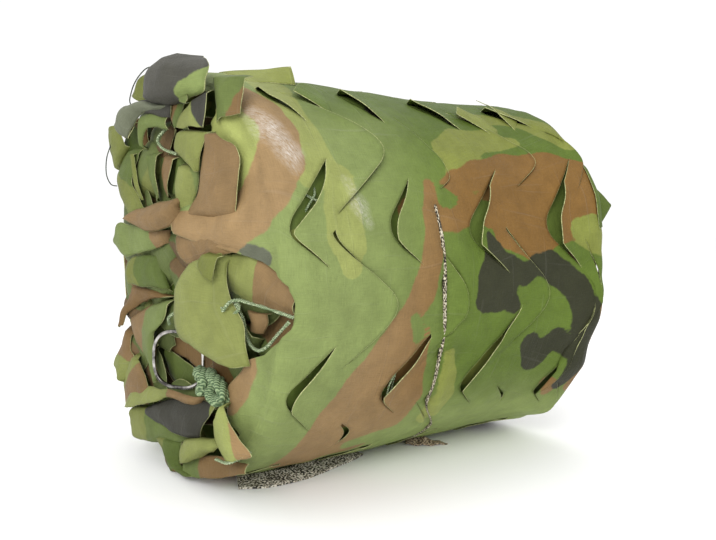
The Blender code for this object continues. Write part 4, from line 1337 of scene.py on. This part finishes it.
def ring_points(wire):
    """The rounded, slightly square outline of the steel ring, of a wire in mm."""
    turn = math.radians(RING_TURN)
    wide = Vector((math.sin(turn), -math.cos(turn), 0.0))
    tall = Vector((0.0, 0.0, 1.0))
    points = []
    for step in range(96):
        angle = 2 * math.pi * step / 96
        c, s = math.cos(angle), math.sin(angle)
        u = math.copysign(abs(c) ** (2 / RING_SQUARE), c) * (RING_WIDTH - wire) / 2
        v = math.copysign(abs(s) ** (2 / RING_SQUARE), s) * (RING_HEIGHT - wire) / 2
        points.append(Vector(RING_PLACE) + wide * u + tall * v)
    return points


def strand(points, reach, twists, phase):
    """A strand that winds around a route, twists times a mm."""
    made = []
    travelled = 0.0
    for index, point in enumerate(points):
        here = points[min(index + 1, len(points) - 1)] - points[max(index - 1, 0)]
        run = here.normalized()
        side = run.cross(Vector((0.31, 0.22, 0.92))).normalized()
        up = run.cross(side)
        if index:
            travelled += (point - points[index - 1]).length
        angle = 2 * math.pi * twists * travelled + phase
        made.append(point + reach * (side * math.cos(angle) + up * math.sin(angle)))
    return made


def twisted(name, route, thick, finish, slot, strands=2, twists=0.3, sides=2):
    """A twisted twine, as strands that wind around a route."""
    pieces = []
    for index in range(strands):
        path = strand(route, thick * 0.24, twists, 2 * math.pi * index / strands)
        pieces.append(tube(f"{name}_{index}", path, thick * 0.56, finish, slot, sides))
    return pieces


def make_ring(finish):
    """The steel ring, bent from wire."""
    wire = size_of("ring_wire")
    piece = tube("wire_ring", ring_points(wire), wire, finish, "ring_steel", 6, closed=True)
    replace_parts(piece, "steel_ring")


def make_knot(finish):
    """The braided cord knotted on the ring."""
    route = smooth_route([off_plane(*spot) for spot in KNOT_ROUTE], 14)
    pieces = twisted("knotted_cord", route, size_of("cord"), finish, "knot_cord", strands=3, twists=0.07,
                     sides=5)
    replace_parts(pieces[0], "ring_cord")


def make_twines(finish):
    """The twines in the mouth and under the open cuts."""
    for index, route in enumerate(MOUTH_TWINES):
        points = smooth_route([off_plane(*spot) for spot in route], 14)
        pieces = twisted(f"mouth_twine_{index}", points, size_of("mouth_twine"), finish, "net_twine")
        if not index:
            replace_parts(pieces[0], "mesh_twine")
    for index, route in enumerate(CUT_TWINES):
        points = smooth_route([on_roll(*spot) for spot in route], 10)
        twisted(f"cut_twine_{index}", points, size_of("cut_twine"), finish, "net_twine")


def make_strings(finish):
    """The dark strings that stand out of the crumpled end."""
    thick = size_of("string")
    for index, route in enumerate(STRINGS):
        points = smooth_route([off_plane(*spot) for spot in route], 14)
        piece = tube(f"dark_string_{index}", points, thick, finish, "net_twine", 2)
        path = [place(point) for point in points]
        length = sum((after - before).length for before, after in zip(path, path[1:]))
        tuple(path[0])


# ------------------------------------------------------------------ finishes

class Finish:
    """A material, with short ways to add nodes to it."""

    def __init__(self, name, roughness):
        self.material = bpy.data.materials.new(name)
        self.material.use_nodes = True
        tree = self.material.node_tree
        self.nodes, self.links = tree.nodes, tree.links
        self.shader = self.nodes["Principled BSDF"]
        coords = self.nodes.new("ShaderNodeTexCoord")
        self.place, self.weave = coords.outputs["Object"], coords.outputs["UV"]
        self.feed(self.shader, Roughness=roughness)

    def put(self, socket, value):
        """Link a socket to another, or give it a number, a vector or a colour."""
        if isinstance(value, bpy.types.NodeSocket):
            self.links.new(value, socket)
        elif socket.type == "RGBA":
            socket.default_value = (*value, 1.0)
        else:
            socket.default_value = value

    def feed(self, node, **inputs):
        """Fill a node's inputs by name, with _ for each space."""
        for name, value in inputs.items():
            self.put(node.inputs[name.replace("_", " ")], value)

    def math(self, operation, *values, clamp=False):
        """A Math node on sockets or numbers."""
        made = self.nodes.new("ShaderNodeMath")
        made.operation = operation
        made.use_clamp = clamp
        for socket, value in zip(made.inputs, values):
            self.put(socket, value)
        return made.outputs[0]

    def scale(self, value, factor, shift, clamp=False):
        """A value times a factor, plus a shift."""
        return self.math("MULTIPLY_ADD", value, factor, shift, clamp=clamp)

    def mix(self, share, first, second, blend="MIX"):
        """A Mix node on colours."""
        made = self.nodes.new("ShaderNodeMix")
        made.data_type = "RGBA"
        made.blend_type = blend
        for index, value in ((0, share), (6, first), (7, second)):
            self.put(made.inputs[index], value)
        return made.outputs[2]

    def attribute(self, name):
        """The value of a float attribute of the mesh."""
        made = self.nodes.new("ShaderNodeAttribute")
        made.attribute_name = name
        return made.outputs["Fac"]

    def noise(self, scale, detail=2.0, roughness=0.5, vector=None):
        """Noise at a scale, over the object's place where no vector is given."""
        made = self.nodes.new("ShaderNodeTexNoise")
        self.feed(made, Vector=self.place if vector is None else vector, Scale=scale, Detail=detail,
                  Roughness=roughness)
        return made.outputs["Fac"]

    def streaks(self, across, along, detail=2.0, roughness=0.5, turn=0.0):
        """Noise over the weave, at a scale across and another along, turned by an angle."""
        made = self.nodes.new("ShaderNodeMapping")
        made.vector_type = "TEXTURE" if turn else "POINT"
        scale = (1.0 / across, 1.0 / along, 1.0) if turn else (across, along, 1.0)
        self.feed(made, Vector=self.weave, Rotation=(0.0, 0.0, turn), Scale=scale)
        return self.noise(1.0, detail, roughness, made.outputs["Vector"])

    def bump(self, height, strength, distance):
        """Small relief of the surface, its distance in metres."""
        made = self.nodes.new("ShaderNodeBump")
        self.feed(made, Height=height, Strength=strength, Distance=distance)
        self.feed(self.shader, Normal=made.outputs["Normal"])


# How much darker each ink is drawn where its layer of depth and shade is full: deeper print, and painted
# shade on the top and on leaves and turns that lie in shade.
DEEPER_AND_SHADED = {
    "green": (0.47, 0.57, 0.24),
    "light": (0.74, 0.75, 0.50),
    "grey": (0.62, 0.66, 0.40),
    "brown": (0.69, 0.56, 0.31),
    "black": (0.50, 0.55, 0.31),
}
# Colours of the tape's threads, from dark to pale, where it lies in the open,
# around the roll and in its folded end, and where in the noise each starts.
WEBBING = {
    "webbing": ((0.012, 0.012, 0.012), (0.14, 0.12, 0.08), (0.36, 0.33, 0.24), (0.74, 0.71, 0.62)),
    "webbing_band": ((0.01, 0.01, 0.008), (0.06, 0.04, 0.02), (0.30, 0.25, 0.16), (0.62, 0.57, 0.44)),
    "webbing_brown": ((0.02, 0.014, 0.01), (0.10, 0.06, 0.03), (0.34, 0.24, 0.14), (0.6, 0.5, 0.36)),
}
WEBBING_STARTS = (0.24, 0.36, 0.47, 0.60)


def cloth_finish(name, inks):
    """Printed, coated plain weave: four inks, worn patches and frayed cuts, with light and shade painted in
    from the tint and depth layers.
    """
    made = Finish(name, 0.58)
    ragged = made.scale(made.noise(260.0, 3.0), 2.4, -1.2)
    colour = None
    for ink in ("green",) + INK_NAMES:
        # Each ink deepens with the layer of depth and shade, which is partly painted shade.
        deep = tuple(a * b for a, b in zip(inks[ink], DEEPER_AND_SHADED[ink]))
        printed = made.mix(made.attribute("deep"), inks[ink], deep)
        if colour:
            inside = made.math("ADD", made.attribute(ink), ragged)
            printed = made.mix(made.scale(inside, 0.9, 0.5, clamp=True), colour, printed)
        colour = printed
    # Slow fading of the print, and the threads of the weave.
    slow = made.scale(made.noise(22.0, 3.0), 0.32, 0.84)
    slow = made.math("MULTIPLY", slow, made.scale(made.noise(85.0, 3.0), 0.44, 0.78))
    threads = made.math("ADD", made.streaks(1900.0, 130.0), made.streaks(130.0, 1900.0))
    shade = made.math("MULTIPLY", slow, made.scale(threads, 0.32, 0.68))
    # The tint layer paints light and shade into the colour.
    shade = made.math("MULTIPLY", shade, made.attribute("tint"))
    grey = made.nodes.new("ShaderNodeCombineColor")
    for socket in grey.inputs:
        made.put(socket, shade)
    colour = made.mix(1.0, colour, grey.outputs[0], "MULTIPLY")
    # Faint pale fold lines in the coating.
    pale = made.math("MAXIMUM", made.scale(made.streaks(300.0, 9.0), 4.0, -2.5, clamp=True),
                     made.scale(made.streaks(9.0, 260.0), 4.0, -2.5, clamp=True))
    colour = made.mix(made.math("MULTIPLY", pale, 0.07), colour, inks["scuff"])
    # White scuffs, and pale threads along the cuts.
    speck = made.scale(made.streaks(800.0, 230.0, 4.0, 0.8, turn=0.6), 3.2, -1.15, clamp=True)
    worn = made.scale(made.attribute("scuff"), 0.09, 0.02, clamp=True)
    colour = made.mix(made.math("MULTIPLY", worn, speck), colour, inks["scuff"])
    fray = made.math("ADD", made.attribute("cut_edge"), made.scale(made.noise(900.0), 0.2, -0.1))
    fray = made.math("MULTIPLY", made.scale(fray, 8.0, -7.0, clamp=True), 0.75)
    colour = made.mix(fray, colour, inks["fray"])
    made.feed(made.shader, Base_Color=colour, Specular_IOR_Level=0.14)
    relief = made.scale(threads, 0.14, made.noise(60.0, 4.0, 0.55))
    made.bump(made.scale(pale, 0.3, relief), 0.6, 0.0036)


def rim_finish(name, colour):
    """The frayed threads of a cut edge."""
    made = Finish(name, 0.8)
    share = made.scale(made.noise(700.0), 3.0, -1.0, clamp=True)
    dark = tuple(part * 0.4 for part in colour)
    made.feed(made.shader, Base_Color=made.mix(share, dark, colour))


def webbing_finish(name, tint):
    """Heathered woven tape: dark, grey and pale threads mixed."""
    made = Finish(name, 0.85)
    threads = made.streaks(900.0, 560.0, 1.0)
    value = made.scale(made.noise(150.0), 0.6, made.scale(threads, 1.9, -0.83))
    stepped = made.nodes.new("ShaderNodeValToRGB")
    stops = stepped.color_ramp.elements
    for index, (start, colour) in enumerate(zip(WEBBING_STARTS, WEBBING[name])):
        stop = stops[index] if index < 2 else stops.new(start)
        stop.position = start
        stop.color = (*(part * shade for part, shade in zip(colour, tint)), 1.0)
    made.put(stepped.inputs["Fac"], value)
    made.feed(made.shader, Base_Color=stepped.outputs["Color"])
    made.bump(threads, 0.6, 0.0006)


def steel_finish(name, bright):
    """Bright bent wire, rougher in places, with painted dark reflections in patches."""
    made = Finish(name, 0.5)
    roughness_and_reflection = made.noise(110.0, 3.0)
    # Patches of the base colour go near black: painted reflection of dark surroundings; the same noise also
    # varies the roughness.
    dark_reflection = made.scale(roughness_and_reflection, 5.0, -2.2, clamp=True)
    made.feed(made.shader, Metallic=1.0, Roughness=made.scale(roughness_and_reflection, 0.2, 0.04),
              Base_Color=made.mix(dark_reflection, (0.07, 0.065, 0.06), bright))


def cord_finish(name, light, dark, scale):
    """Twisted or braided cord: pale threads with dark between them."""
    made = Finish(name, 0.8)
    wave = made.nodes.new("ShaderNodeTexWave")
    wave.bands_direction = "DIAGONAL"
    made.feed(wave, Vector=made.place, Scale=scale, Distortion=2.5, Detail=2.0)
    made.feed(made.shader, Base_Color=made.mix(wave.outputs["Fac"], dark, light))
    made.bump(wave.outputs["Fac"], 0.8, 0.001)


# ------------------------------------------------------------------ settings

def size_property(name, description, default):
    """A size that a user can change, in metres."""
    return bpy.props.FloatProperty(name=name, description=description, default=default, min=0.0001,
                                   max=0.02, precision=4, subtype="DISTANCE", unit="LENGTH")


def colour_property(name, description, default):
    """A colour that a user can change."""
    return bpy.props.FloatVectorProperty(name=name, description=description, default=default, min=0.0,
                                         max=1.0, size=3, subtype="COLOR")


class NetSizes(bpy.types.PropertyGroup):
    """Thicknesses of the cloth, the tape, the ring and the cords."""

    cloth: size_property("Cloth", "Thickness of the coated cloth", 0.0005)
    tape_thickness: size_property("Tape", "Thickness of the tape where it lies flat", 0.0008)
    tape_width: size_property("Folded tape width", "Width of the folded tape around the roll", 0.0032)
    tape_height: size_property("Folded tape height", "Height of the folded tape around the roll", 0.003)
    ring_wire: size_property("Ring wire", "Thickness of the ring's wire", 0.0027)
    cord: size_property("Cord", "Thickness of the cord knotted on the ring", 0.0076)
    mouth_twine: size_property("Mouth twine", "Thickness of the twines in the mouth", 0.0023)
    cut_twine: size_property("Cut twine", "Thickness of the twines under the cuts", 0.0016)
    string: size_property("String", "Thickness of the dark strings", 0.0009)


class NetColours(bpy.types.PropertyGroup):
    """Inks and threads of the net, its steel and the floor."""

    green: colour_property("Green", "Ground colour of the print", (0.186, 0.232, 0.077))
    light: colour_property("Light green", "Yellow-green ink", (0.248, 0.275, 0.084))
    grey: colour_property("Grey", "Faded grey-green ink", (0.100, 0.108, 0.074))
    brown: colour_property("Brown", "Brown ink", (0.250, 0.164, 0.076))
    black: colour_property("Black", "Black ink", (0.057, 0.055, 0.046))
    scuff: colour_property("Scuffs", "White of the worn places", (0.62, 0.58, 0.54))
    fray: colour_property("Frayed threads", "Pale threads along the cuts", (0.50, 0.52, 0.24))
    tape: colour_property("Tape tint", "Tint over the threads of the tape", (1.0, 1.0, 1.0))
    steel: colour_property("Steel", "Bright places of the ring", (0.55, 0.53, 0.50))
    cord: colour_property("Cord", "Pale threads of the ring's cord", (0.30, 0.40, 0.21))
    cord_dark: colour_property("Cord, dark", "Dark threads of the ring's cord", (0.05, 0.10, 0.04))
    twine: colour_property("Twine", "Pale threads of the twines", (0.50, 0.58, 0.36))
    twine_dark: colour_property("Twine, dark", "Dark threads of the twines", (0.11, 0.18, 0.07))
    string: colour_property("String", "Pale threads of the dark strings", (0.10, 0.12, 0.08))
    string_dark: colour_property("String, dark", "Dark threads of the strings", (0.03, 0.04, 0.03))
    floor: colour_property("Floor", "Floor of the studio", (0.96, 0.96, 0.96))


def size_of(name):
    """A size from the settings, in mm."""
    return round(getattr(bpy.context.scene.net_sizes, name) / MM, 4)


def colours():
    """The colours from the settings, by name."""
    chosen = bpy.context.scene.net_colours
    return {name: tuple(getattr(chosen, name)) for name in NetColours.__annotations__}


def finishes():
    """The finishes of the pieces, made once."""
    made = bpy.data.materials
    if "printed_cloth" not in made:
        chosen = colours()
        cloth_finish("printed_cloth", chosen)
        rim_finish("frayed_rim", chosen["fray"])
        for name in WEBBING:
            webbing_finish(name, chosen["tape"])
        steel_finish("bright_steel", chosen["steel"])
        cord_finish("braided_cord", chosen["cord"], chosen["cord_dark"], 260.0)
        cord_finish("twisted_twine", chosen["twine"], chosen["twine_dark"], 420.0)
        cord_finish("dark_string", chosen["string"], chosen["string_dark"], 420.0)
    return made


# ----------------------------------------------------------------- operators

class NET_OT_outer_turn(bpy.types.Operator):
    """Make the outer turn of cloth and the turn beneath it"""

    bl_idname = "net.outer_turn"
    bl_label = "Outer turn"

    def execute(self, context):
        kit = finishes()
        make_outer_turn(kit)
        make_inner_turn(kit)
        return {"FINISHED"}


class NET_OT_end_leaves(bpy.types.Operator):
    """Make the leaves and the wound edges of both ends"""

    bl_idname = "net.end_leaves"
    bl_label = "End leaves"

    def execute(self, context):
        kit = finishes()
        make_near_leaves(kit)
        make_filler_leaves(kit)
        make_flaps(kit)
        make_far_leaves(kit)
        make_wound_edges(kit)
        return {"FINISHED"}


class NET_OT_tie(bpy.types.Operator):
    """Make the webbing tie around the roll and its ends on the floor"""

    bl_idname = "net.tie"
    bl_label = "Tie"

    def execute(self, context):
        kit = finishes()
        make_tie_band(kit["webbing_band"])
        make_tie_tail(kit["webbing"])
        make_tie_loop(kit["webbing_brown"])
        return {"FINISHED"}


class NET_OT_ring(bpy.types.Operator):
    """Make the steel ring and the cord knotted on it"""

    bl_idname = "net.ring"
    bl_label = "Ring and knot"

    def execute(self, context):
        kit = finishes()
        make_ring(kit["bright_steel"])
        make_knot(kit["braided_cord"])
        return {"FINISHED"}


class NET_OT_twine(bpy.types.Operator):
    """Make the twines of the mesh that show, and the dark strings"""

    bl_idname = "net.twine"
    bl_label = "Twines"

    def execute(self, context):
        kit = finishes()
        make_twines(kit["twisted_twine"])
        make_strings(kit["dark_string"])
        return {"FINISHED"}


def aim(thing, spot, run):
    """Put a lamp or a camera at a place in the frame, looking along a run."""
    thing.location = spot
    thing.rotation_euler = run.to_track_quat("-Z", "Y").to_euler()
    bpy.context.scene.collection.objects.link(thing)


class NET_OT_stage(bpy.types.Operator):
    """Make the floor, the lights and the camera"""

    bl_idname = "net.stage"
    bl_label = "Studio"

    def execute(self, context):
        scene = context.scene
        bm = bmesh.new()
        bmesh.ops.create_grid(bm, x_segments=1, y_segments=1, size=12.0)
        white = Finish("studio_white", 0.9)
        white.feed(white.shader, Base_Color=colours()["floor"])
        finish_mesh("floor", bm, white.material)
        world = bpy.data.worlds.new("studio")
        world.use_nodes = True
        light = world.node_tree.nodes["Background"].inputs
        light["Color"].default_value = (1.0, 1.0, 1.0, 1.0)
        light["Strength"].default_value = STUDIO_LIGHT
        scene.world = world
        for item in LAMPS:
            lamp = bpy.data.lights.new(item.name, "AREA")
            lamp.size = item.size
            lamp.energy = item.power
            spot = Vector(item.spot)
            aim(bpy.data.objects.new(item.name, lamp), spot, Vector(LAMP_TARGET) - spot)
        eye = bpy.data.cameras.new("eye")
        eye.sensor_width = 36.0
        eye.lens = EYE_LENS
        eye.clip_start = 0.01
        seat = bpy.data.objects.new("eye", eye)
        aim(seat, Vector(EYE_SPOT), Vector(EYE_RUN))
        scene.camera = seat
        scene.view_settings.view_transform = "Standard"
        return {"FINISHED"}


STEPS = (NET_OT_outer_turn, NET_OT_end_leaves, NET_OT_tie, NET_OT_ring, NET_OT_twine, NET_OT_stage)


class NET_PT_panel(bpy.types.Panel):
    """Lists the steps, the sizes and the colours"""

    bl_label = "Camouflage net"
    bl_idname = "NET_PT_panel"
    bl_space_type = "VIEW_3D"
    bl_region_type = "UI"
    bl_category = "Net"

    def draw(self, context):
        for step in STEPS:
            self.layout.operator(step.bl_idname)
        for group in (context.scene.net_sizes, context.scene.net_colours):
            for name in type(group).__annotations__:
                self.layout.prop(group, name)


CLASSES = (NetSizes, NetColours, *STEPS, NET_PT_panel)


def register():
    """Register the settings, the operators and the panel."""
    for item in CLASSES:
        bpy.utils.register_class(item)
    bpy.types.Scene.net_sizes = bpy.props.PointerProperty(type=NetSizes)
    bpy.types.Scene.net_colours = bpy.props.PointerProperty(type=NetColours)


def unregister():
    """Remove them again."""
    del bpy.types.Scene.net_sizes
    del bpy.types.Scene.net_colours
    for item in reversed(CLASSES):
        bpy.utils.unregister_class(item)


def main():
    """Build everything."""
    register()
    bpy.ops.net.outer_turn()
    bpy.ops.net.end_leaves()
    bpy.ops.net.tie()
    bpy.ops.net.ring()
    bpy.ops.net.twine()
    bpy.ops.net.stage()
    bpy.context.view_layer.update()


if __name__ == "__main__":
    main()
